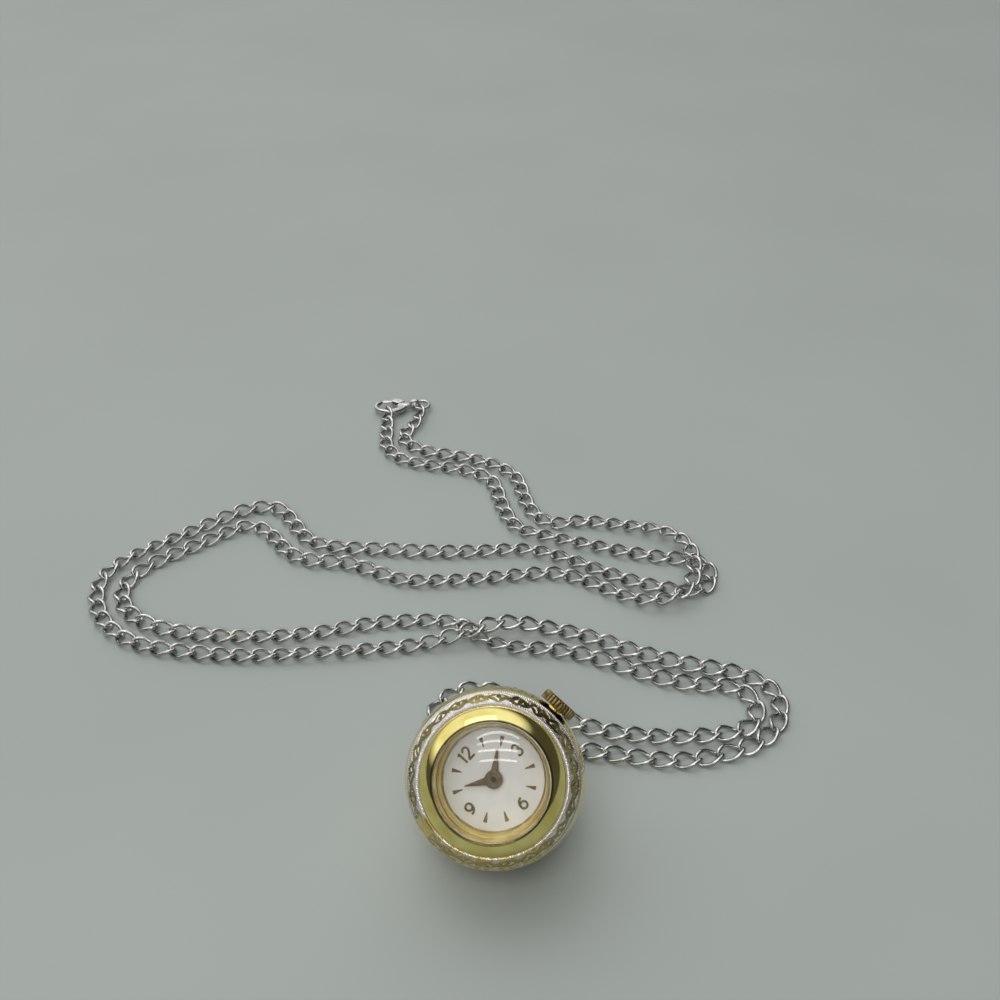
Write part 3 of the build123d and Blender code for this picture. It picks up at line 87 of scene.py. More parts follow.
# Camera at the photograph's angle: focal length and frame in its pixels, place in millimetres
view = {"focal": 1170, "frame": 1000, "sensor": 36, "pitch": 37.6, "nearest": 2, "place": (0.6, -92.4, 124.8)}
cameraData = bpy.data.cameras.new("photoCamera")
cameraData.sensor_width = view["sensor"]
cameraData.lens = view["sensor"] * view["focal"] / view["frame"]
cameraData.clip_start = view["nearest"] * mm
camera = bpy.data.objects.new("photoCamera", cameraData)
camera.location = [value * mm for value in view["place"]]
camera.rotation_euler = (radians(90 - view["pitch"]), 0, 0)
scene.collection.objects.link(camera)
scene.camera = camera
print("camera placed")


# Materials
def linear(code):      # sRGB hex to linear colour
    parts = np.array([int(code[k:k + 2], 16) / 255 for k in (1, 3, 5)])
    parts = np.where(parts <= 0.04045, parts / 12.92, ((parts + 0.055) / 1.055) ** 2.4)
    return (*parts.tolist(), 1.0)


def addNode(tree, kind, settings=None, links=None):
    node = tree.nodes.new(kind)
    for name, value in (settings or {}).items():
        if isinstance(name, str) and hasattr(node, name):
            setattr(node, name, value)
        else:
            node.inputs[name].default_value = value
    for name, socket in (links or {}).items():
        tree.links.new(socket, node.inputs[name])
    return node


def startMaterial(name, settings):
    material = bpy.data.materials.new(name)
    material.use_nodes = True
    tree = material.node_tree
    shader = tree.nodes["Principled BSDF"]
    for socket, value in settings.items():
        shader.inputs[socket].default_value = value
    where = addNode(tree, "ShaderNodeTexCoord").outputs["Object"]
    return material, tree, shader, where


def grain(tree, where, size, detail=2.0, stretch=None):      # noise whose patches are size millimetres
    if stretch:
        where = addNode(tree, "ShaderNodeMapping", {"Scale": stretch}, {"Vector": where}).outputs["Vector"]
    settings = {"Scale": 1 / (size * mm), "Detail": detail}
    return addNode(tree, "ShaderNodeTexNoise", settings, {"Vector": where}).outputs["Fac"]


# Stretches a value from start..end to low..high
def spread(tree, value, low, high, start=0.35, end=0.65):
    settings = {"From Min": start, "From Max": end, "To Min": low, "To Max": high}
    return addNode(tree, "ShaderNodeMapRange", settings, {"Value": value}).outputs["Result"]


def blendColours(tree, factor, first, second):
    node = addNode(tree, "ShaderNodeMix", {"data_type": 'RGBA'}, {0: factor})
    for index, colour in ((6, first), (7, second)):
        if isinstance(colour, str):
            node.inputs[index].default_value = linear(colour)
        else:
            tree.links.new(colour, node.inputs[index])
    return node.outputs[2]


def bump(tree, shader, height, depth):      # depth in millimetres
    settings = {"Distance": depth * mm, "Strength": 1.0}
    node = addNode(tree, "ShaderNodeBump", settings, {"Height": height})
    tree.links.new(node.outputs["Normal"], shader.inputs["Normal"])


# Plain finish: two tones in soft patches, roughness in finer ones, a shallow bump, and where it has a seam
# the painted shade that darkens it there. It is a metal unless its look has a base of its own.
def plainFinish(name, look):
    material, tree, shader, where = startMaterial(name, look.get("base", {"Metallic": 1.0}))
    patches = spread(tree, grain(tree, where, look["patch"]), 0, 1)
    tone = blendColours(tree, patches, look["tone"], look["worn"])
    tree.links.new(tone, shader.inputs["Base Color"])
    if "fine" in look:
        fine = grain(tree, where, look["fine"], look.get("detail", 3.0), look.get("stretch"))
        tree.links.new(spread(tree, fine, *look["rough"]), shader.inputs["Roughness"])
        bump(tree, shader, fine, look["depth"])
    # Painted shade: a dark colour mixed in by the piece's seam attribute
    if "seam" in look:
        seam = addNode(tree, "ShaderNodeAttribute", {"attribute_name": "seam"}).outputs["Fac"]
        tree.links.new(blendColours(tree, seam, tone, look["seam"]), shader.inputs["Base Color"])
    return material


looks = {
    # Polished gold plate on brass, gives deep pale yellow mirrors with faint handling marks
    "goldPlate": {"tone": "#EFDF86", "worn": "#E3CE6E", "patch": 3.0, "fine": 0.7, "rough": (0.05, 0.13),
                  "depth": 0.003},
    # The same plate on the bezel, with painted shade in dark brown at its foot and round the glass
    "bezelGoldPaintedShade": {"tone": "#F3E796", "worn": "#E2D078", "patch": 3.0, "fine": 0.7, "rough": (0.05, 0.13),
                  "depth": 0.003, "seam": "#3E300E"},
    # Brass of the step ring, gives a warmer and duller gold under the glass
    "goldStep": {"tone": "#F2E09A", "worn": "#E2C878", "patch": 2.4, "fine": 2.0, "rough": (0.3, 0.36),
                 "depth": 0.0},
    # Rolled gold on the crown, worn towards bronze on its ribs
    "bronzeGold": {"tone": "#A18E5E", "worn": "#665833", "patch": 0.8, "fine": 0.25, "rough": (0.16, 0.3),
                   "depth": 0.002},
    # Stamped gold numerals, gives small bright edges on the pale dial
    "goldNumeral": {"tone": "#AB9A5E", "worn": "#85774A", "patch": 0.5, "fine": 0.2, "rough": (0.14, 0.28),
                    "depth": 0.003},
    # Matte bronzed brass of the hands
    "handBronze": {"tone": "#9C8A60", "worn": "#7D6D48", "patch": 0.7, "fine": 0.12, "rough": (0.36, 0.52),
                   "depth": 0.003},
    # Drawn and barrelled stainless steel, gives white edge lines and dark insides
    "chainSteel": {"tone": "#D0D0CC", "worn": "#ACADA9", "patch": 1.5, "fine": 0.25, "rough": (0.05, 0.12),
                   "depth": 0.003},
    # Nickel plated brass of the movement, with a fine grain
    "nickelPlate": {"tone": "#C9C5B9", "worn": "#B3AE9F", "patch": 1.2, "fine": 0.15, "rough": (0.22, 0.38),
                    "depth": 0.003, "stretch": (1.0, 0.12, 1.0)},
    # Gilt brass of the wheels, gives a warm satin yellow
    "wheelBrass": {"tone": "#D8B463", "worn": "#C49C49", "patch": 0.9, "fine": 0.1, "rough": (0.2, 0.34),
                   "depth": 0.002},
    # Hardened and polished arbors, levers and screws
    "hardSteel": {"tone": "#A7AAAE", "worn": "#8B8F95", "patch": 0.7, "fine": 0.1, "rough": (0.14, 0.28),
                  "depth": 0.002},
    # Tempered spring steel, blued by heat
    "springSteel": {"tone": "#5A6E96", "worn": "#45526E", "patch": 0.6, "fine": 0.1, "rough": (0.2, 0.34),
                    "depth": 0.002},
    # Silvered brass dial under lacquer: near white, with a faint pearly grain
    "satinDial": {"tone": "#F8F8F1", "worn": "#F0F0E9", "patch": 2.2, "fine": 0.1, "rough": (0.38, 0.52),
                  "depth": 0.004, "detail": 2.0, "base": {"Metallic": 0.1, "Coat Weight": 0.2}},
    # Pressed synthetic ruby of the bearings: clear deep red
    "rubyJewel": {"tone": "#B5173F", "worn": "#8E0F33", "patch": 0.3,
                  "base": {"Transmission Weight": 0.6, "IOR": 1.76, "Roughness": 0.08}},
    # Painted shade of the hole in the hands' hub: a dark brown dot with little gloss
    "paintedHoleShade": {"tone": "#4A2E12", "worn": "#2C1B0A", "patch": 0.15, "fine": 0.15, "rough": (0.3, 0.5),
                "depth": 0.0, "detail": 2.0, "base": {"Specular IOR Level": 0.2}},
}
finish = {name: plainFinish(name, look) for name, look in looks.items()}


# Rhodium overlay on gold plate: bright sparkling lace, gold where it is worn, painted shade in dark olive in
# the gaps
overlayLook = {"gold": ("#E4D27E", "#C8B264"), "bright": ("#FCF8F6", "#E0D9D5"), "hollowShade": "#847A42",
               "fleck": 0.22, "rough": (0.1, 0.3), "facet": 0.14, "depth": 0.01}


def silverOverGold(look):
    material, tree, shader, where = startMaterial("silverOverGold", {"Metallic": 1.0})
    silver = addNode(tree, "ShaderNodeAttribute", {"attribute_name": "silver"}).outputs["Fac"]
    pitShade = addNode(tree, "ShaderNodeAttribute", {"attribute_name": "pitShade"}).outputs["Fac"]
    fleck = grain(tree, where, look["fleck"], 3.0)
    patches = spread(tree, fleck, 0, 1)
    gold = blendColours(tree, patches, *look["gold"])
    bright = blendColours(tree, patches, *look["bright"])
    tone = blendColours(tree, silver, gold, bright)
    # Painted shade: a dark olive mixed in where the hollows are marked
    tree.links.new(blendColours(tree, pitShade, tone, look["hollowShade"]), shader.inputs["Base Color"])
    tree.links.new(spread(tree, fleck, *look["rough"]), shader.inputs["Roughness"])
    bump(tree, shader, grain(tree, where, look["facet"]), look["depth"])
    return material


# Polished acrylic crystal: clear, with glare and fine scuffs; light passes it without a shadow
crystalLook = {"scuff": 0.5, "stretch": (1.0, 0.3, 1.0), "rough": (0.0, 0.02), "scuffed": (0.5, 0.8)}


def clearCrystal(look):
    clear = {"Transmission Weight": 1.0, "IOR": 1.49, "Roughness": 0.0}
    material, tree, shader, where = startMaterial("clearCrystal", clear)
    scuffs = grain(tree, where, look["scuff"], 4.0, look["stretch"])
    tree.links.new(spread(tree, scuffs, *look["rough"], *look["scuffed"]), shader.inputs["Roughness"])
    shadow = addNode(tree, "ShaderNodeLightPath").outputs["Is Shadow Ray"]
    through = addNode(tree, "ShaderNodeBsdfTransparent").outputs["BSDF"]
    links = {0: shadow, 1: shader.outputs["BSDF"], 2: through}
    mixed = addNode(tree, "ShaderNodeMixShader", {}, links)
    tree.links.new(mixed.outputs["Shader"], tree.nodes["Material Output"].inputs["Surface"])
    return material


finish["silverOverGold"], finish["clearCrystal"] = silverOverGold(overlayLook), clearCrystal(crystalLook)
slotFinish = {
    "gold_plate": "goldPlate", "bronze_gold": "bronzeGold", "silver_overlay": "silverOverGold",
    "dial_silver": "satinDial", "dial_gold": "goldNumeral", "hand_bronze": "handBronze",
    "crystal": "clearCrystal", "chain_steel": "chainSteel", "nickel_plate": "nickelPlate",
    "wheel_brass": "wheelBrass", "hard_steel": "hardSteel", "spring_steel": "springSteel",
    "ruby": "rubyJewel",
}
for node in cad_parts.values():
    for slot in node.material_slots:
        slot.material = finish[slotFinish[slot.material.name.split(".")[0]]]
print("materials made,", len(slotFinish), "finishes on the CAD nodes")


# Surfaces
def gridFaces(rows, columns, closeRows=True):      # faces of a grid whose columns close to a ring
    row = np.arange(rows if closeRows else rows - 1)
    row, column = np.meshgrid(row, np.arange(columns), indexing='ij')
    nextRow, nextColumn = (row + 1) % rows, (column + 1) % columns
    corners = (row * columns + column, nextRow * columns + column,
               nextRow * columns + nextColumn, row * columns + nextColumn)
    return np.stack(corners, -1).reshape(-1, 4)


def joined(*shells):      # several shells as one, each shell being its points and its faces
    points, faces, count = [], [], 0
    for shellPoints, shellFaces in shells:
        points.append(shellPoints.reshape(-1, 3))
        faces.append(shellFaces + count)
        count += len(points[-1])
    return np.concatenate(points), np.concatenate(faces)


# Mesh object from a shell in millimetres: doubles merged, faces outward, carried by its body, and in its
# slot's finish unless another is named
def makePiece(name, shell, slot, node=None, body="root", place=None, other=None, values=None, sharp=38):
    points, faces = shell
    points = points.reshape(-1, 3)
    if place is not None:
        points = moved(points, place)
    mesh = bpy.data.meshes.new(name)
    mesh.from_pydata((points * mm).tolist(), [], faces.tolist())
    for attribute, numbers in (values or {}).items():
        layer = mesh.attributes.new(attribute, 'FLOAT', 'POINT')
        layer.data.foreach_set("value", numbers.ravel().astype(np.float32))
    skin = bmesh.new()
    skin.from_mesh(mesh)
    bmesh.ops.remove_doubles(skin, verts=skin.verts, dist=mergeReach * mm)
    bmesh.ops.recalc_face_normals(skin, faces=skin.faces)
    skin.to_mesh(mesh)
    skin.free()
    mesh.shade_smooth()
    mesh.set_sharp_from_angle(angle=radians(sharp))
    mesh.materials.append(finish[other or slotFinish[slot]])
    piece = bpy.data.objects.new(name, mesh)
    scene.collection.objects.link(piece)
    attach(piece, body)
    if node:
        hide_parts(node)
    return piece


# Closed outline whose corners become quadratic curves. Each starts reach before its corner, or at the
# share most of the side if that is nearer.
def softCorners(points, reach, steps=5, most=0.45):
    points = np.asarray(points, float)
    reach = np.broadcast_to(np.asarray(reach, float), (len(points),))[:, None]
    ends = []
    for other in (np.roll(points, 1, 0), np.roll(points, -1, 0)):
        run = other - points
        length = np.linalg.norm(run, axis=1, keepdims=True)
        ends.append(points + run * np.minimum(reach / length, most))
    t = np.linspace(0, 1, steps)[:, None, None]
    curve = (1 - t) ** 2 * ends[0] + 2 * t * (1 - t) * points + t**2 * ends[1]
    return curve.transpose(1, 0, 2).reshape(-1, 2)


# Section of a round tube from its bore to its rim between two heights
def tubeSection(bore, rim, low, high, reach, steps=5):
    return softCorners([(bore, low), (rim, low), (rim, high), (bore, high)], reach, steps)


def arc(centre, radius, start, end, count):      # points of an arc, in degrees from the first axis
    angle = np.radians(np.linspace(start, end, count))
    return np.stack([centre[0] + radius * np.cos(angle), centre[1] + radius * np.sin(angle)], 1)


def onBall(radius, start, end, count=2):      # section of the ball by its angle from the dial's axis
    return arc((0, 0), radius, 90 - start, 90 - end, count)


# Closed section of radius and height turned about Z; ripple adds to the radius round the turn
def spin(profile, segments=160, ripple=None):
    angle = fullTurn(segments)
    radius, height = profile[:, 0:1] + 0 * angle, profile[:, 1:2] + 0 * angle
    if ripple is not None:
        radius = radius + ripple(angle, profile)
    points = np.stack([radius * np.cos(angle), radius * np.sin(angle), height], -1)
    return points, gridFaces(len(profile), segments)


# Round wire bent to a ring, with a dip of dipLong where its two ends meet
def wireRing(radius, wire, stations=72, sides=16, dip=0.3, dipLong=0.05):
    along = fullTurn(stations * 4)[:, None]
    around = fullTurn(sides)
    thick = wire / 2 * (1 - dip * np.exp(-((along - pi) * radius / dipLong) ** 2))
    out = radius + thick * np.cos(around)
    points = np.stack([out * np.cos(along), out * np.sin(along), thick * np.sin(around) + 0 * along], -1)
    return points, gridFaces(stations * 4, sides)


# Chain: two strands of curb links along their routes, points in millimetres as in the part's source, moved
# a little at the right end and beside the ball. Heights: flat on the table where a point gives none, at a
# ring, over another strand and on the way up to it. Links stray in roll by two sines, but not the calm ones
# at the ends.
lie, edge, over, climb = 0.63, 0.95, 2.2, 1.4
chainSizes = {"wire": 0.58, "halfLong": 1.95, "halfWide": 1.15, "twist": -48.0, "pitch": 3.12, "width": 2.88,
              "stations": 22, "sides": 8, "endRolls": (42.0, 20.0), "stray": 9.0, "strayRise": 0.012,
              "strayLinks": (1.9, 4.7), "calm": 6, "aim": 0.2}
outerRoute = [
    (4.232, 12.016, 1.066), (9, 12.8, edge), (14, 12.8), (19.5, 11.6), (25.5, 11), (31.5, 12.3),
    (37, 14.6), (40.4, 19.2), (40, 24.6), (35.4, 27.6), (28.5, 28.9), (21.5, 31.2), (14.5, 34.9),
    (8.5, 36.8), (1.5, 37, over), (-4.5, 34.4, over), (-11, 33.2), (-20, 32), (-29, 31.2), (-38, 30.8),
    (-46.5, 31.7), (-54, 33.2), (-59.7, 37.2), (-63, 43.2), (-63.2, 49.2), (-59.5, 54), (-53.5, 58.4),
    (-47.8, 63), (-42.8, 66.4), (-37.4, 66.9), (-34.3, 62.2), (-31.4, 57.6), (-26.5, 55.9), (-19, 55.4),
    (-11, 54.6), (-3, 55), (4.5, 55.7), (9.8, 54), (15.5, 50.8), (21.5, 47.6), (27.5, 45.6), (32.6, 45.2),
    (34.2, 47.7), (34.3, 50.5), (32.4, 53), (28, 53.2), (21.5, 54.7), (14.5, 56.8), (8, 58.8), (3, 61),
    (0.6, 68), (-0.4, 74.4), (-5, 77.8), (-12, 79), (-17.5, 80.7), (-20.8, 85.2), (-20.6, 90.2, edge),
    (-21.017, 95.065, 1.08),
]
innerRoute = [
    (-2.74, 11.964, 1.061), (-7, 12.6, edge), (-9.2, 16.2), (-8.4, 21.2), (-4.6, 24.6), (1.5, 23.4),
    (6.8, 20), (12.5, 17), (18.5, 15.7), (24.5, 15.1), (30, 15.6), (34.7, 16.5), (36.9, 19.3),
    (36.6, 22.8), (34, 25), (29, 25), (23.5, 26.4), (18, 29), (12.5, 31.5), (7.5, 32.4), (2.5, 32.5),
    (-1.8, 34), (-5.6, 38.2), (-12, 38.6), (-19, 38), (-26, 36), (-33, 34.9), (-41, 35), (-48, 35.7),
    (-54, 37.6), (-58.1, 41.4), (-59.4, 46.3), (-57, 51.2), (-51.2, 55.4), (-46.2, 59.3), (-41.4, 62.4),
    (-37.6, 59.4), (-34.4, 54.4), (-30, 52.2), (-24.5, 52.2), (-19.5, 49.8), (-15, 47.6), (-8.5, 47.6),
    (-1, 48.3), (5.5, 49.5), (10.6, 49.6), (15.4, 47.2), (20, 43.9), (25.3, 41.9, climb),
    (30.2, 43.8, over), (31.8, 49, over), (31.6, 55.2, over), (27.7, 59.8, climb), (20.5, 61.9),
    (14.5, 63.2), (9.6, 61.9), (6.2, 64.8), (4.6, 70), (3.8, 75.4), (-0.5, 79.8), (-7, 81.9), (-13, 83.2),
    (-17.3, 86.4), (-17.2, 89.8), (-15.2, 92.6, edge), (-14.838, 95.765, 1.021),
]


# Points, in metres, of the smooth line that takes the route as its control points
def routeLine(name, route):
    route = [point if len(point) == 3 else (*point, lie) for point in route]
    data = bpy.data.curves.new(name, 'CURVE')
    data.dimensions = '3D'
    data.resolution_u = 24
    spline = data.splines.new('NURBS')
    spline.points.add(len(route) - 1)
    points = np.ones((len(route), 4))
    points[:, :3] = np.array(route) * mm
    spline.points.foreach_set("co", points.ravel())
    spline.order_u = 3
    spline.use_endpoint_u = True
    holder = bpy.data.objects.new(name, data)
    mesh = bpy.data.meshes.new_from_object(holder)
    line = np.empty(len(mesh.vertices) * 3)
    mesh.vertices.foreach_get("co", line)
    bpy.data.objects.remove(holder)
    bpy.data.meshes.remove(mesh)
    return line.reshape(-1, 3)


# Round wire along an oval whose two ends are rolled opposite ways about its length
def curbLink(sizes):
    angle = fullTurn(sizes["stations"])

    def middle(angle):
        roll = np.radians(sizes["twist"]) * np.cos(angle)
        across = sizes["halfWide"] * np.sin(angle)
        return np.stack([sizes["halfLong"] * np.cos(angle), across * np.cos(roll), across * np.sin(roll)], -1)

    step = 0.01
    along = unit(middle(angle + step) - middle(angle - step))
    roll = np.radians(sizes["twist"]) * np.cos(angle)
    out = unit(np.cross(along, np.stack([0 * roll, -np.sin(roll), np.cos(roll)], -1)))
    face = np.cross(out, along)
    around = fullTurn(sizes["sides"])[None, :, None]
    ringPoints = out[:, None] * np.cos(around) + face[:, None] * np.sin(around)
    return middle(angle)[:, None] + ringPoints * sizes["wire"] / 2


def makeStrand(name, route, node):
    line = routeLine(name, route) / mm
    steps = np.linalg.norm(np.diff(line, axis=0), axis=1)
    reach = np.concatenate([[0], np.cumsum(steps)])
    count = round(reach[-1] / chainSizes["pitch"])
    stops = np.linspace(0, reach[-1], count + 1)

    def onLine(stops):
        return np.stack([np.interp(stops, reach, line[:, k]) for k in range(3)], 1)

    place = onLine(stops)
    along = unit(onLine(stops + chainSizes["aim"]) - onLine(stops - chainSizes["aim"]))
    up = unit(np.array([0, 0, 1]) - along * along[:, 2:3])
    side = np.cross(up, along)
    number = np.arange(count + 1)
    first, second = chainSizes["strayLinks"]
    free = np.clip(np.minimum(number, count - number) / chainSizes["calm"] - 0.5, 0, 1)
    rolls = chainSizes["stray"] * free * (np.sin(number / first + len(route)) + np.sin(number / second))
    place[:, 2] += chainSizes["strayRise"] * np.abs(rolls)
    rolls[:2] = chainSizes["endRolls"]
    rolls[-2:] = [-roll for roll in chainSizes["endRolls"][::-1]]
    rolls = np.radians(rolls)[:, None]
    axes = np.stack([along, side * np.cos(rolls) + up * np.sin(rolls),
                     up * np.cos(rolls) - side * np.sin(rolls)], 1)
    link = curbLink(chainSizes).reshape(-1, 3)
    points = np.einsum('pk,nkj->npj', link, axes) + place[:, None]
    faces = gridFaces(chainSizes["stations"], chainSizes["sides"])
    faces = faces[None] + (np.arange(count + 1) * len(link))[:, None, None]
    strand = makePiece(name, (points, faces.reshape(-1, 4)), "chain_steel", node, sharp=80)
    print(name, count + 1, "links,", round(reach[-1], 1), "mm")


# Rings that the strands hang on
bailRing = {"radius": 2.3, "wire": 0.7, "droop": 3.7}
ringBack = onTable[:3, :3] @ turn('X', ball["elevation"] - 90)[:3, :3] @ np.array(
    [0, cos(radians(bailRing["droop"])), -sin(radians(bailRing["droop"]))])
ringSide = turn('Z', ball["turn"])[:3, 0]
inRing = np.eye(4)
inRing[:3, 0], inRing[:3, 1], inRing[:3, 2] = ringSide, ringBack, np.cross(ringSide, ringBack)
inRing[:3, 3] = bailEye + ringBack * bailRing["radius"]
bailRingPiece = makePiece("bailRingWire", wireRing(bailRing["radius"], bailRing["wire"]), "chain_steel",
                          "bail_ring", place=inRing)
tailRing = {"radius": 1.4, "wire": 0.6, "stations": 48, "centre": (-14.533, 98.427, 1.08), "turn": 200}
tailRingPiece = makePiece("tailRingWire",
                          wireRing(tailRing["radius"], tailRing["wire"], tailRing["stations"]),
                          "chain_steel", "tail_ring",
                          place=shift(*tailRing["centre"]) @ turn('Z', tailRing["turn"]))


# Clasp: claw, tail and eye in one body, with the trigger in its slit. The claw's runs are in degrees round
# the mouth, and each station of the tail is x, y, half width, half thickness.
claspSizes = {"halfLong": 3.2, "halfWide": 2.45, "mouthLong": 1.95, "mouthWide": 1.3, "mouthShift": -0.5,
              "thick": 1.1, "slit": 0.48, "clawRun": (118, 388), "cheekRun": (22, 76), "leverRun": (38, 121),
              "leverShare": (0.12, 1.0), "triggerThick": 0.42, "thumbPlace": (0.55, 2.2), "thumbRadius": 0.45,
              "thumbSoft": 0.12, "pinPlace": (2.0, 1.3), "pinRadius": 0.2, "pinSoft": 0.05,
              "eyePlace": 4.6, "eyeRadius": 1.1, "eyeHole": 0.62, "eyeThick": 0.84, "eyeLift": 0.2,
              "eyeSoft": 0.24,
              "tail": [(1.2, 0, 0, 0), (1.25, 0, 0.5, 0.3), (1.6, 0.05, 0.8, 0.45), (2.4, 0.05, 0.75, 0.55),
                       (3.1, 0, 0.6, 0.55), (3.7, 0, 0.552, 0.528), (4.0, 0, 0.48, 0.44), (4.05, 0, 0, 0)]}


def fullOval(sides, power):      # an oval with fuller corners, as its two coordinates
    around = fullTurn(sides)
    return [np.sign(wave) * np.abs(wave) ** power for wave in (np.cos(around), np.sin(around))]


# Rounded bar between the mouth's oval and the outer oval, over a range of angles in degrees.
# Its section is a full oval between two heights, and it shrinks to a round tip at both ends.
def clawRun(start, end, low, high, share=(0.0, 1.0), count=60, sides=20, blunt=6.0):
    angle = np.radians(np.linspace(start, end, count))[:, None]
    inner = np.stack([claspSizes["mouthShift"] + claspSizes["mouthLong"] * np.cos(angle),
                      claspSizes["mouthWide"] * np.sin(angle)], -1)
    outer = np.stack([claspSizes["halfLong"] * np.cos(angle), claspSizes["halfWide"] * np.sin(angle)], -1)
    first, second = inner + (outer - inner) * share[0], inner + (outer - inner) * share[1]
    u = np.linspace(-1, 1, count)[:, None]
    tip = np.sqrt(np.clip(1 - np.abs(u) ** blunt, 0, 1))
    across, rise = fullOval(sides, 0.8)
    flat = (first + second) / 2 + (second - first) / 2 * (across * tip)[:, :, None]
    height = (low + high) / 2 + (high - low) / 2 * rise * tip
    points = np.concatenate([flat, height[:, :, None]], -1)
    return points, gridFaces(count, sides, closeRows=False)


# Bar along X through oval sections: each station is x, y, half width, half thickness
def swept(stations, sides=20):
    x, y, wide, thick = (np.array(stations)[:, k:k + 1] for k in range(4))
    across, rise = fullOval(sides, 0.7)
    points = np.stack([x + 0 * across, y + wide * across, thick * rise], -1)
    return points, gridFaces(len(stations), sides, closeRows=False)


def turnedShell(shell, place):
    return moved(shell[0], place), shell[1]


def makeClasp():
    half, slit, slim = (claspSizes[name] / 2 for name in ("thick", "slit", "triggerThick"))
    hole, radius, wide = claspSizes["eyeHole"], claspSizes["eyeRadius"], claspSizes["eyeThick"] / 2
    eye = tubeSection(hole, radius, -wide, wide, claspSizes["eyeSoft"])
    eyePlace = shift(claspSizes["eyePlace"], 0, claspSizes["eyeLift"]) @ turn('X', 90)
    cheek = {"count": 24, "blunt": 10.0}
    body = joined(
        clawRun(*claspSizes["clawRun"], -half, half),
        clawRun(*claspSizes["cheekRun"], slit, half, **cheek),
        clawRun(*claspSizes["cheekRun"], -half, -slit, **cheek),
        swept(claspSizes["tail"]), turnedShell(spin(eye, 48), eyePlace),
    )
    bodyPiece = makePiece("claspClaw", body, "chain_steel", "clasp_body", place=clasp, sharp=60)
    radius, soft = claspSizes["thumbRadius"], claspSizes["thumbSoft"]
    thumb = tubeSection(0, radius, -slim, slim, [0, soft, soft, 0])
    thumbPlace = shift(*claspSizes["thumbPlace"], 0)
    pivotPlace = shift(*claspSizes["pinPlace"], 0)
    arm = clawRun(*claspSizes["leverRun"], -slim, slim, claspSizes["leverShare"], count=36, blunt=8.0)
    lever = joined(arm, turnedShell(spin(thumb, 24), thumbPlace), turnedShell(spin(thumb, 24), pivotPlace))
    leverPiece = makePiece("claspLever", lever, "chain_steel", "clasp_trigger", "clasp_trigger", clasp,
                           sharp=60)
    radius, soft = claspSizes["pinRadius"], claspSizes["pinSoft"]
    pin = tubeSection(0, radius, -half, half, [0, soft, soft, 0])
    pinPiece = makePiece("claspRivet", spin(pin, 24), "chain_steel", "clasp_pin", place=clasp @ pivotPlace)
    return bodyPiece, leverPiece, pinPiece


claspPieces = makeClasp()
makeStrand("outerStrand", outerRoute, "chain_outer_strand")
makeStrand("innerStrand", innerRoute, "chain_inner_strand")
print("chain, rings and clasp made")


# Case: plain front half and deep back half
case = {"bore": 8.8, "shelf": 3.2, "seam": 1.6, "wall": 0.8, "lowBand": 71.0, "highBand": 54.3,
        "bandFloor": 10.7, "neckBase": 6.244, "neckTop": 6.994, "neckRadius": 8.0, "opening": 7.3,
        "segments": 192, "seamDip": 0.12, "seamHalf": 0.6, "backRun": 173.2, "end": (0.6, -10.92),
        "insideRun": (176.6, 100), "rim": 8.78}
seamAngle = 90 + np.degrees(np.arcsin(case["seam"] / ball["radius"]))


def makeCase():
    radius, floor, seam = ball["radius"], case["bandFloor"], -case["seam"]
    front = np.concatenate([
        [(case["bore"], seam), (radius - case["seamDip"], seam)],
        onBall(radius, seamAngle - case["seamHalf"], case["lowBand"], 24),
        onBall(floor, case["lowBand"], case["highBand"], 10),
        [(case["neckRadius"], case["neckBase"]), (case["neckRadius"], case["neckTop"]),
         (case["opening"], case["neckTop"]), (case["opening"], case["shelf"]),
         (case["bore"], case["shelf"])],
    ])
    makePiece("caseFront", spin(front, case["segments"]), "gold_plate", "case_front", place=inWatch)
    back = np.concatenate([
        onBall(radius, seamAngle + case["seamHalf"], case["backRun"], 60), [case["end"]],
        onBall(radius - case["wall"], *case["insideRun"], 40),
        [(case["rim"], 0.0), (case["rim"], seam), (radius - case["seamDip"], seam)],
    ])
    makePiece("caseBack", spin(back, case["segments"]), "gold_plate", "case_back", place=inWatch)


makeCase()
print("case made")


# Filigree band: relief on the ball between the plain case and the bezel
band = {"columns": 1680, "rows": 56, "middle": 62.6, "motifs": 24, "swell": (1.22, 0.12),
        "warp": 0.07, "sway": 0.05, "margins": (0.1, 0.04), "soft": 0.04, "leafSoft": 0.05,
        "teeth": 280, "tooth": 0.17, "toothLean": 5.0, "blunt": 0.8, "outerRail": 0.34,
        "innerRail": 0.34, "ridge": 0.1, "ridgeLeast": 0.35, "edgeDrop": 0.22, "edgeRun": 0.3, "sunk": 0.05,
        "groove": 0.06, "groovePlace": 0.05, "grooveHalf": 0.03, "floor": 0.1, "vein": 0.022,
        "veinStep": 0.26, "grain": 0.012, "seed": 7}
# Plating: degrees of the plain gold break and of the part that is worn low in the picture, and how far
# painted shade darkens the openings, the groove and the slots between the teeth
plating = {"break": 165.0, "breakHalf": 7.0, "breakWave": 0.4, "breakEdge": 2.5, "pictureTurn": 53,
           "wornHalf": 50, "wornWave": 10, "wornEdge": 12.0, "worn": (0.6, 0.2), "wornPitShade": 0.45,
           "gap": (0.8, 0.2), "groove": 0.7, "slot": 0.8, "slotStart": 0.35, "slotEdge": 0.2}


# Smooth fall from one to zero as a distance passes from -edge to edge
def fadeOut(distance, edge):
    t = np.clip((edge - distance) / (2 * edge), 0, 1)
    return t * t * (3 - 2 * t)


# Least distance to the openings of one motif: leaves are ovals, each centre x, y, half sizes, lean
leaves = [(-0.62, 0.3, 0.72, 0.3, 52), (0.6, 0.38, 0.66, 0.28, -46), (0.0, -0.36, 0.24, 0.62, 8),
          (-0.68, -0.62, 0.46, 0.22, -32), (0.7, -0.58, 0.5, 0.24, 36), (0.02, 0.84, 0.32, 0.22, 0),
          (1.24, -0.05, 0.17, 0.55, -12), (-1.24, -0.05, 0.17, 0.55, -12)]


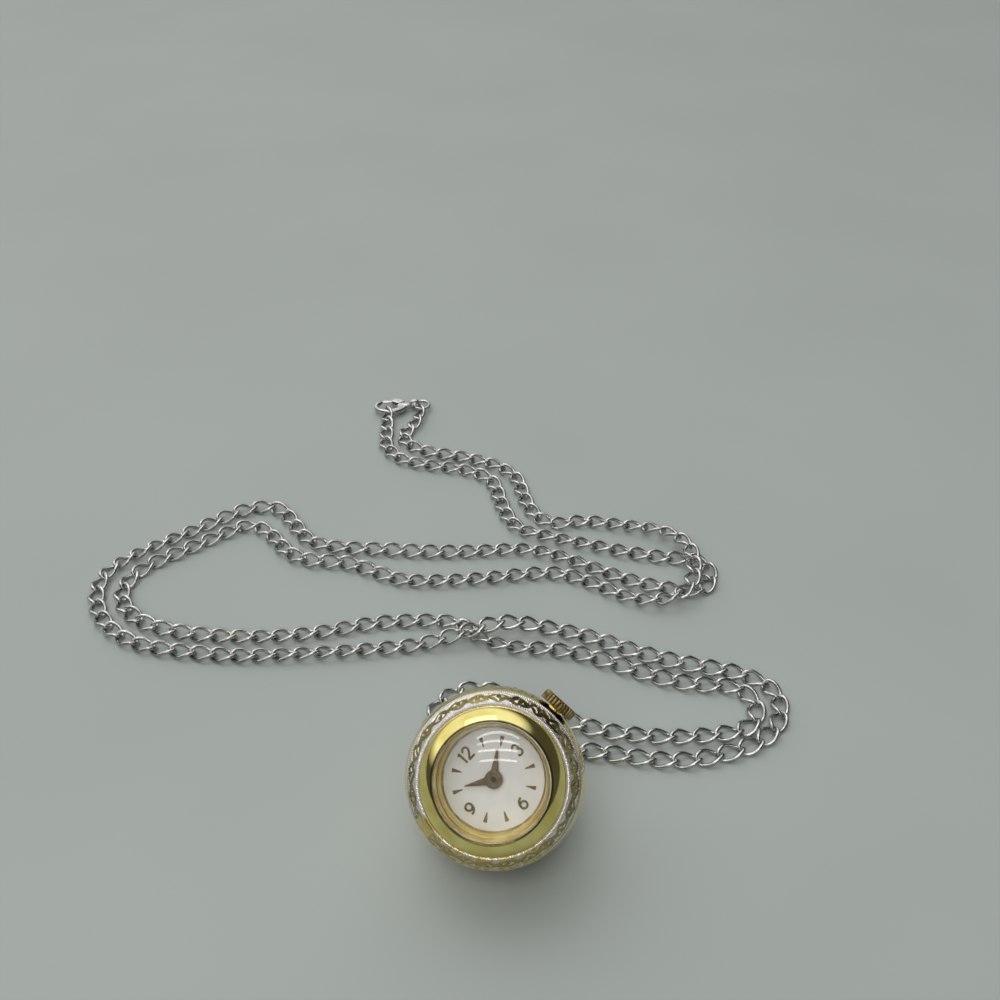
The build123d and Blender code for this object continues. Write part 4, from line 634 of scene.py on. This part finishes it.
def openings(x, y, swell):
    distances = []
    for centreX, centreY, halfLong, halfWide, lean in leaves:
        c, s = cos(radians(lean)), sin(radians(lean))
        u = (x - centreX) * c + (y - centreY) * s
        v = (y - centreY) * c - (x - centreX) * s
        distances.append((np.hypot(u / (halfLong * swell), v / (halfWide * swell)) - 1) * halfWide)
    return np.minimum.reduce(distances)


# Whole numbers with the angle are waves round the band
def makeBand():
    columns, rows, radius = band["columns"], band["rows"], ball["radius"]
    angle = fullTurn(columns)[None, :]
    tilt = np.radians(np.linspace(case["lowBand"], case["highBand"], rows))[:, None]
    fromLow = (np.radians(case["lowBand"]) - tilt) * radius + 0 * angle
    width = np.radians(case["lowBand"] - case["highBand"]) * radius
    fromHigh = width - fromLow
    inRail, outRail = fromHigh - band["innerRail"], fromLow - band["outerRail"]

    motif = angle / (2 * pi) * band["motifs"]
    half = pi * radius * sin(radians(band["middle"])) / band["motifs"]
    which = np.floor(motif)
    warp = np.sin(9 * angle + 2.2 * fromLow) + np.sin(31 * angle - 3.1 * fromLow + 1)
    x = ((motif % 1) - 0.5) * 2 * half + band["warp"] * warp
    y = (fromLow - width / 2 + band["sway"] * np.sin(37 * angle)) * np.where(which % 2 == 0, 1.0, -1.0)
    inField = fadeOut(-np.minimum(outRail - band["margins"][0], inRail - band["margins"][1]), band["soft"])
    swell = band["swell"][0] + band["swell"][1] * np.sin(2.3 * which)
    gap = fadeOut(openings(x, y, swell), band["leafSoft"]) * inField

    degrees = np.degrees(angle)
    fromBreak = (degrees - plating["break"] + 180) % 360 - 180
    wave = (np.sin(5 * angle + 1.3) + np.sin(13 * angle + 0.4) + np.sin(29 * angle + 2 * fromLow)) / 3
    breakHalf = plating["breakHalf"] * (1 + plating["breakWave"] * wave)
    plain = fadeOut(np.abs(fromBreak) - breakHalf, plating["breakEdge"])
    fromBottom = np.abs((degrees + plating["pictureTurn"] + 0 * fromLow - 90) % 360 - 180)
    lower = fadeOut(fromBottom - plating["wornHalf"] - plating["wornWave"] * wave, plating["wornEdge"])
    patch = np.sin(19 * angle + 2 * fromLow) + np.sin(43 * angle - 3 * fromLow + 2) + np.sin(67 * angle)

    onRail = fadeOut(outRail, band["soft"])
    tooth = np.abs(np.cos(angle * band["teeth"] / 2 + band["toothLean"] * fromLow)) ** band["blunt"]
    tooth = tooth * onRail
    groove = fadeOut(np.abs(outRail - band["groovePlace"]) - band["grooveHalf"], band["grooveHalf"])
    ridge = (1 - np.cos(2 * pi * fromHigh / band["innerRail"])) / 2 * fadeOut(inRail, band["soft"] / 2)
    least = band["ridgeLeast"]
    ridge = ridge * (least + (1 - least) * np.abs(np.cos(angle * band["teeth"] / 2)))
    vein = np.sin(2 * pi * (x * 0.8 + np.abs(y) * 0.9) / band["veinStep"])
    random = np.random.default_rng(band["seed"]).normal(0, 1, (rows, columns))
    random = (random + np.roll(random, 1, 0) + np.roll(random, 1, 1) + np.roll(random, 2, 1)) / 2
    relief = band["vein"] * vein + band["grain"] * random
    height = tooth * band["tooth"] - groove * band["groove"] + ridge * band["ridge"]
    height = (height + inField * (1 - gap) * relief - gap * band["floor"]) * (1 - plain)
    height = height - band["edgeDrop"] * np.clip(1 - fromHigh / band["edgeRun"], 0, 1) ** 2
    height[0] = -band["sunk"]

    worn = lower * (plating["worn"][0] + plating["worn"][1] * patch)
    silver = (1 - gap) * (1 - plain) * np.clip(1 - worn, 0, 1)
    # Painted shade: darkest in the openings, the groove and the slots between the teeth, less on the worn
    # lower part
    slot = fadeOut(tooth - plating["slotStart"], plating["slotEdge"]) * onRail
    inGap = gap * (plating["gap"][0] + plating["gap"][1] * np.sin(1.7 * which))
    pitShade = np.maximum(inGap, np.maximum(plating["groove"] * groove, plating["slot"] * slot))
    pitShade = pitShade * (1 - plain) * (1 - plating["wornPitShade"] * lower)
    reach = radius + height - band["sunk"]
    reach = np.concatenate([reach, 0 * reach[:1] + case["bandFloor"], 0 * reach[:1] + case["bandFloor"]])
    tilts = np.concatenate([tilt, tilt[-1:], tilt[:1]])
    points = np.stack([reach * np.sin(tilts) * np.cos(angle), reach * np.sin(tilts) * np.sin(angle),
                       reach * np.cos(tilts) + 0 * angle], -1)
    values = {"silver": np.concatenate([silver, silver[-1:], silver[:1]]),
              "pitShade": np.concatenate([pitShade, np.zeros((2, columns))])}
    makePiece("filigreeRelief", (points, gridFaces(rows + 2, columns)), "silver_overlay", "filigree_band",
              place=inWatch, values=values, sharp=75)


makeBand()
print("filigree band made")


# Bezel, crystal and the stepped ring under it
bezel = {"bulge": 3.6, "crest": 45.0, "bore": 6.88, "lip": 0.14, "lipSoft": 0.03, "segments": 256,
         "seamShadeFade": (0.3, 0.6, 0.8, 0.9, 1)}
crystal = {"wall": 0.6, "rise": 1.1, "edge": 1.1, "gap": 0.02, "skirt": 0.18, "edgeSoft": 0.05}
steps = {"count": 2, "mouth": 6.74, "opening": 5.95, "lean": 0.4, "round": 0.08, "low": 3.0, "foot": 6.4}


def makeBezel():
    across, up = onBall(ball["radius"] - bezel["bulge"], bezel["crest"], bezel["crest"])[0]
    low = np.degrees(np.arcsin((case["neckBase"] - up) / bezel["bulge"]))
    high = np.degrees(np.arccos((bezel["bore"] + bezel["lip"] - across) / bezel["bulge"]))
    dome = arc((across, up), bezel["bulge"], low, high, 60)
    lipTop = dome[-1]
    lip = np.array([(bezel["bore"] + bezel["lipSoft"], lipTop[1] - bezel["lipSoft"]),
                    (bezel["bore"], lipTop[1] - bezel["lip"])])
    inside = np.array([(bezel["bore"], case["neckTop"]), (case["neckRadius"], case["neckTop"]),
                       (case["neckRadius"], case["neckBase"])])
    foot = np.array([dome[0] + (0.0, -0.001), dome[0]])
    # Painted shade: the seam attribute is one at the foot, on the lip and inside, fading in over the dome's
    # last rows
    unshaded = [0] * (len(dome) - 6)
    seam = np.concatenate([[1, 1], unshaded, bezel["seamShadeFade"], [1] * 5])[:, None] + np.zeros(bezel["segments"])
    profile = np.concatenate([foot, dome[2:], lip[:1] + (0, 0.005), lip, inside])
    makePiece("bezelDome", spin(profile, bezel["segments"]), "gold_plate", "bezel", place=inWatch,
              other="bezelGoldPaintedShade", values={"seam": seam})


def makeCrystal():
    outer = bezel["bore"] - crystal["gap"]
    inner = outer - crystal["skirt"]
    sideTop = case["neckTop"] + crystal["edge"]
    radius = (outer**2 + crystal["rise"] ** 2) / (2 * crystal["rise"])
    middle = sideTop + crystal["rise"] - radius

    def dome(radius, reach, count=40):
        return arc((0, middle), radius, np.degrees(np.arccos(reach / radius)), 90, count)

    soft = crystal["edgeSoft"]
    top = dome(radius, outer - soft)
    under = dome(radius - crystal["wall"], inner)[::-1]
    side = [(inner, case["neckTop"]), (outer, case["neckTop"]), (outer, sideTop - soft)]
    profile = np.concatenate([side, top, under])
    makePiece("crystalDome", spin(profile, 128), "crystal", "crystal", place=inWatch)


def makeStepRing():
    outer = case["opening"] - crystal["gap"]
    stepIn = (steps["mouth"] - steps["opening"]) / steps["count"]
    stepDown = (case["neckTop"] - steps["low"]) / steps["count"]
    points = [(outer, case["shelf"]), (outer, case["neckTop"]), (steps["mouth"], case["neckTop"])]
    for k in range(steps["count"]):
        radius, height = steps["mouth"] - stepIn * k, case["neckTop"] - stepDown * (k + 1)
        points += [(radius - stepIn * steps["lean"], height), (radius - stepIn, height)]
    points += [(steps["foot"], steps["low"]), (steps["foot"], case["shelf"])]
    makePiece("stepRing", spin(softCorners(points, steps["round"], 4), 160), "gold_plate",
              "reflector_ring", place=inWatch, other="goldStep")


makeBezel()
makeCrystal()
makeStepRing()
print("bezel, crystal and step ring made")


# Crown with its ribs, the tube it turns on, and the bail behind the ball
crown = {"radius": 2.3, "thick": 1.25, "start": 11.104, "ribs": 30, "rib": 0.17, "perRib": 12,
         "ribFloor": -0.2, "rimDeep": 0.3, "recess": 1.1, "recessDeep": 0.5, "foot": 0.1, "footTall": 0.12,
         "bevel": 0.22, "dish": 0.12, "dishRim": 1.5, "dishFlat": 1.2,
         "soft": [0, 0.05, 0.05, 0.05, 0.05, 0.08, 0.1, 0.1, 0.1, 0]}
tube = {"radius": 0.9, "bore": 0.46, "start": 9.7, "end": 11.454, "soft": 0.06}
bail = {"collar": 1.3, "collarThick": 0.5, "neck": 0.65, "neckStart": 0.8, "neckEnd": 0.9, "tip": 0.75,
        "tenon": 0.58, "tenonLong": 0.7, "soft": [0, 0.1, 0.2, 0.15, 0.05, 0.02, 0.05, 0], "hole": 0.6,
        "eyeThick": 1.0, "eyeSoft": 0.3, "seat": -10.923}


def makeCrown():
    rim, top, dish = crown["radius"], crown["thick"], crown["thick"] - crown["dish"]
    points = [(0, crown["recessDeep"]), (crown["recess"], crown["recessDeep"]), (crown["recess"], 0),
              (rim - crown["foot"], 0), (rim, crown["footTall"]), (rim, top - crown["bevel"]),
              (rim - crown["bevel"], top), (crown["dishRim"], top), (crown["dishFlat"], dish), (0, dish)]
    profile = softCorners(points, crown["soft"], 4)

    def ribs(angle, profile):      # grooves with round floors, only on the rim
        groove = np.clip(np.cos(angle * crown["ribs"]), crown["ribFloor"], 1) ** 2
        onRim = np.clip((profile[:, 0:1] - rim + crown["rimDeep"]) / crown["rimDeep"], 0, 1)
        return -crown["rib"] * groove * onRim

    makePiece("crownKnob", spin(profile, crown["ribs"] * crown["perRib"], ribs), "bronze_gold", "crown",
              "crown", onStem @ shift(0, 0, crown["start"]), sharp=50)
    pipe = tubeSection(tube["bore"], tube["radius"], tube["start"], tube["end"], tube["soft"], 4)
    makePiece("crownTube", spin(pipe, 48), "gold_plate", "case_tube", place=onStem)


def makeBailEye():
    seat, drop = bail["seat"], -bailDrop
    stalk = softCorners([(0, drop + bail["tip"]), (bail["neck"], drop + bail["neckEnd"]),
                         (bail["neck"], seat - bail["neckStart"]),
                         (bail["collar"], seat - bail["collarThick"]), (bail["collar"], seat),
                         (bail["tenon"], seat), (bail["tenon"], seat + bail["tenonLong"]),
                         (0, seat + bail["tenonLong"])], bail["soft"])
    half = bail["eyeThick"] / 2
    eye = spin(tubeSection(bail["hole"], ball["eye"], -half, half, bail["eyeSoft"], 7), 64)
    eye = turnedShell(eye, np.linalg.inv(inWatch) @ inEye)
    makePiece("bailStalk", joined(spin(stalk, 64), eye), "chain_steel", "bail_eye", place=inWatch, sharp=50)


makeCrown()
makeBailEye()
print("crown and bail made")


# Dial with raised numerals and wedges. A stroke is a line of points in the numeral's own square.
dial = {"radius": 6.3, "hole": 0.75, "low": 2.65, "face": 3.0, "numeralPlace": 4.38, "numeralTall": 1.45,
        "numeralTurn": -2.5, "stroke": 0.27, "strokeEnd": 0.2, "rise": 0.24, "soft": 0.04,
        "section": [(-0.5, 0), (-0.5, 0.55), (-0.3, 1), (0.3, 1), (0.5, 0.55), (0.5, 0)],
        "markerIn": 3.9, "markerOut": 5.1, "markerWide": 0.5, "markerNarrow": 0.14, "markerRise": 0.26,
        "markerSlopes": (0.04, 0.06), "markerLow": 0.6}


def numeralStrokes():
    def bow(start, bend, end, count=14):
        t = np.linspace(0, 1, count)[:, None]
        return (1 - t) ** 2 * np.array(start) + 2 * t * (1 - t) * np.array(bend) + t**2 * np.array(end)

    one = np.array([(-0.13, 0.34), (0.0, 0.5), (0.0, 0.0), (0.0, -0.5)])
    two = np.concatenate([arc((0, 0.24), 0.26, 165, -20, 16),
                          bow((0.24, 0.14), (0.1, -0.15), (-0.27, -0.46)), [(-0.26, -0.5), (0.3, -0.5)]])
    three = np.concatenate([arc((0, 0.25), 0.24, 150, -70, 16), arc((0, -0.23), 0.27, 70, -150, 18)])
    six = np.concatenate([bow((0.2, 0.42), (-0.27, 0.38), (-0.29, -0.16)),
                          arc((0, -0.16), 0.29, 180, 540, 24)])
    apart = 0.26
    return {12: [one + (-apart - 0.06, 0), two + (apart, 0)], 3: [three], 6: [six], 9: [-six]}


# Raised stroke: a low rounded section carried along a flat line and closed to a point at both ends
def raisedStroke(line, width, low, rise):
    along = unit(np.gradient(line, axis=0))
    side = np.stack([-along[:, 1], along[:, 0]], -1)
    section = np.array(dial["section"])
    first = line[:1] - along[:1] * width * dial["strokeEnd"]
    last = line[-1:] + along[-1:] * width * dial["strokeEnd"]
    line = np.concatenate([first, first, line, last, last])
    side = np.concatenate([side[:1], side[:1], side, side[-1:], side[-1:]])
    size = np.ones(len(line))
    size[[0, -1]] = 0
    flat = line[:, None] + side[:, None] * (section[:, 0] * width)[None, :, None] * size[:, None, None]
    height = low + rise * section[:, 1] * size[:, None]
    points = np.concatenate([flat, height[:, :, None]], -1)
    return points, gridFaces(len(line), len(section), closeRows=False)


def wedge(hour):
    inner, outer = dial["markerIn"], dial["markerOut"]
    narrow, broad, low = dial["markerNarrow"] / 2, dial["markerWide"] / 2, dial["face"]
    inSlope, outSlope = dial["markerSlopes"]
    stations = [(inner, 0, 0), (inner, narrow, 0), (inner + inSlope, narrow, dial["markerLow"]),
                (outer - outSlope, broad, 1), (outer, broad, 0), (outer, 0, 0)]
    points = np.array([[(x, -w, low), (x, 0, low + dial["markerRise"] * max(rise, 0.001)), (x, w, low),
                        (x, 0, low)] for x, w, rise in stations], float)
    return turnedShell((points, gridFaces(len(stations), 4, closeRows=False)),
                       turn('Z', 90 - 30 * hour))


def makeDial():
    plate = tubeSection(dial["hole"], dial["radius"], dial["low"], dial["face"], dial["soft"], 4)
    makePiece("dialPlate", spin(plate, 128), "dial_silver", "dial", place=inWatch)
    shells = [wedge(hour) for hour in (1, 2, 4, 5, 7, 8, 10, 11)]
    for hour, lines in numeralStrokes().items():
        angle = radians(30 * hour + dial["numeralTurn"])
        centre = dial["numeralPlace"] * np.array([sin(angle), cos(angle)])
        for line in lines:
            shells.append(raisedStroke(line * dial["numeralTall"] + centre, dial["stroke"], dial["face"],
                                       dial["rise"]))
    makePiece("hourNumerals", joined(*shells), "dial_gold", "hour_markers", place=inWatch, sharp=30)


makeDial()
print("dial made")


# Hands: a ridged blade that tapers from a round hub, and a dark disc of painted shade in its centre
hands = {"hub": 1.08, "hubSoft": [0.01, 0.03, 0.09, 0.03], "thick": 0.16, "root": 0.95, "rootPlace": 0.85,
         "hourLong": 3.5, "minuteLong": 3.6, "hourTip": 0.2, "minuteTip": 0.08, "hourTop": 3.46,
         "minuteTop": 3.76, "hourAngle": 55.4, "minuteAngle": 305.6, "hourBore": 0.55, "minuteBore": 0.38,
         "shoulder": 0.6, "capOut": 0.46, "capIn": 0.3, "capTop": 3.84, "capSoft": 0.03,
         "dotDrops": (0.05, 0.02, 0.03), "dotOver": 0.01}


def makeHand(name, kind):
    long, tip, top, angle, bore = (hands[kind + part] for part in ("Long", "Tip", "Top", "Angle", "Bore"))
    low, node = top - hands["thick"], kind + "_hand"
    share = np.array([0, 0, 0.25, 0.5, 0.75, 0.97, 1.0])[:, None]
    width = (hands["root"] + (tip - hands["root"]) * share) / 2
    width[0] = width[-1] = 0
    x = hands["rootPlace"] + (long - hands["rootPlace"]) * share
    across = np.array([-1, -1, 0, 1, 1]) * width
    rise = np.array([0, hands["shoulder"], 1, hands["shoulder"], 0]) * hands["thick"] * (width > 0) + low
    blade = np.stack([x + 0 * across, across, rise], -1), gridFaces(len(share), 5, closeRows=False)
    hub = tubeSection(bore, hands["hub"], low, top, hands["hubSoft"])
    makePiece(name, joined(blade, spin(hub, 72)), "hand_bronze", node, node, inWatch @ turn('Z', 90 - angle))


def makeHands():
    makeHand("hourPointer", "hour")
    makeHand("minutePointer", "minute")
    high = hands["capTop"]
    cap = tubeSection(hands["capIn"], hands["capOut"], hands["minuteTop"], high, hands["capSoft"], 4)
    makePiece("centreCollar", spin(cap, 40), "hand_bronze", body="minute_hand", place=inWatch)
    # Painted shade: a dark disc just under the top of the collar's bore fills the hole
    edge, (under, rim, middle) = hands["capIn"] + hands["dotOver"], hands["dotDrops"]
    dot = np.array([(0, high - under), (edge, high - under), (edge, high - rim), (0, high - middle)])
    makePiece("centreHole", spin(dot, 32), "hard_steel", body="minute_hand", place=inWatch, other="paintedHoleShade")


makeHands()
print("hands made")


# Studio: a pale floor, a sky that is bright above, behind and to the left but dim to the right and in
# front, a soft ceiling lamp, a fill lamp that mirrors don't show, and four rows of lamps for the glare
studio = {"floor": "#979D99", "floorDim": "#949A96", "floorHalf": 3000, "skyDim": 0.07, "skyBright": 1.06,
          "skyWay": (-0.35, 0.5, 0.8), "skyEdge": (0.52, 0.72), "frontBright": 0.5,
          "frontWay": (0.0, -0.74, 0.67), "frontEdge": (0.82, 0.93), "ceiling": 640, "ceilingWatts": 2.0,
          "ceilingPlace": (-300, 450, 1100), "fill": 800, "fillWatts": 5.8, "fillPlace": (-200, -700, 900)}
glare = {"height": 620, "side": -14, "part": 66, "step": 62, "parts": 5, "wide": 17, "watts": 0.018,
         "rows": ((57.4, 0.6), (63.8, 0.5), (69.6, 1.4), (75.0, 2.3))}      # each an angle and its bend


def addLamp(name, long, wide, watts, place, along=(1, 0, 0)):      # faces the ball
    data = bpy.data.lights.new(name, 'AREA')
    data.shape = 'RECTANGLE'
    data.size, data.size_y, data.energy = long * mm, wide * mm, watts
    lamp = bpy.data.objects.new(name, data)
    away = unit(np.array(place))
    across = unit(np.cross(away, along))
    pose = np.eye(4)
    pose[:3] = np.column_stack([np.cross(across, away), across, away, np.array(place) * mm])
    lamp.matrix_world = Matrix(pose.tolist())
    scene.collection.objects.link(lamp)
    return lamp


def makeFloor():
    half = studio["floorHalf"] * mm
    mesh = bpy.data.meshes.new("floor")
    corners = [(-half, -half, 0), (half, -half, 0), (half, half, 0), (-half, half, 0)]
    mesh.from_pydata(corners, [], [(0, 1, 2, 3)])
    floor = bpy.data.objects.new("floor", mesh)
    scene.collection.objects.link(floor)
    material, tree, shader, where = startMaterial("paleTable", {"Roughness": 0.6})
    cloud = spread(tree, grain(tree, where, 60), 0, 1)
    tone = blendColours(tree, cloud, studio["floor"], studio["floorDim"])
    tree.links.new(tone, shader.inputs["Base Color"])
    mesh.materials.append(material)


def makeSky():
    world = bpy.data.worlds.new("softStudio")
    scene.world = world
    world.use_nodes = True
    tree = world.node_tree
    way = addNode(tree, "ShaderNodeTexCoord").outputs["Generated"]
    levels = []
    for part in ("sky", "front"):
        centre = unit(np.array(studio[part + "Way"])).tolist()
        near = addNode(tree, "ShaderNodeVectorMath", {"operation": 'DOT_PRODUCT', 1: centre}, {0: way})
        bright = studio[part + "Bright"]
        levels.append(spread(tree, near.outputs["Value"], studio["skyDim"], bright, *studio[part + "Edge"]))
    level = addNode(tree, "ShaderNodeMath", {"operation": 'MAXIMUM'}, dict(enumerate(levels))).outputs[0]
    tree.links.new(level, tree.nodes["Background"].inputs["Color"])


def makeLamps():
    off = np.arange(glare["parts"]) - (glare["parts"] - 1) / 2
    height = glare["height"]
    for row, (angle, bend) in enumerate(glare["rows"]):
        def spot(k):
            bent = radians(angle - bend * (k / off[-1]) ** 2)
            return np.array([glare["side"] + k * glare["step"], -height / np.tan(bent), height])
        for number, k in enumerate(off):
            addLamp(f"glareLamp{row}{number}", glare["part"], glare["wide"], glare["watts"], spot(k),
                    spot(k + 0.1) - spot(k - 0.1))
    addLamp("ceilingLamp", studio["ceiling"], studio["ceiling"], studio["ceilingWatts"],
            studio["ceilingPlace"])
    fillLamp = addLamp("fillLamp", studio["fill"], studio["fill"], studio["fillWatts"], studio["fillPlace"])
    fillLamp.visible_glossy = fillLamp.visible_transmission = False


makeFloor()
makeSky()
makeLamps()
print("studio made")
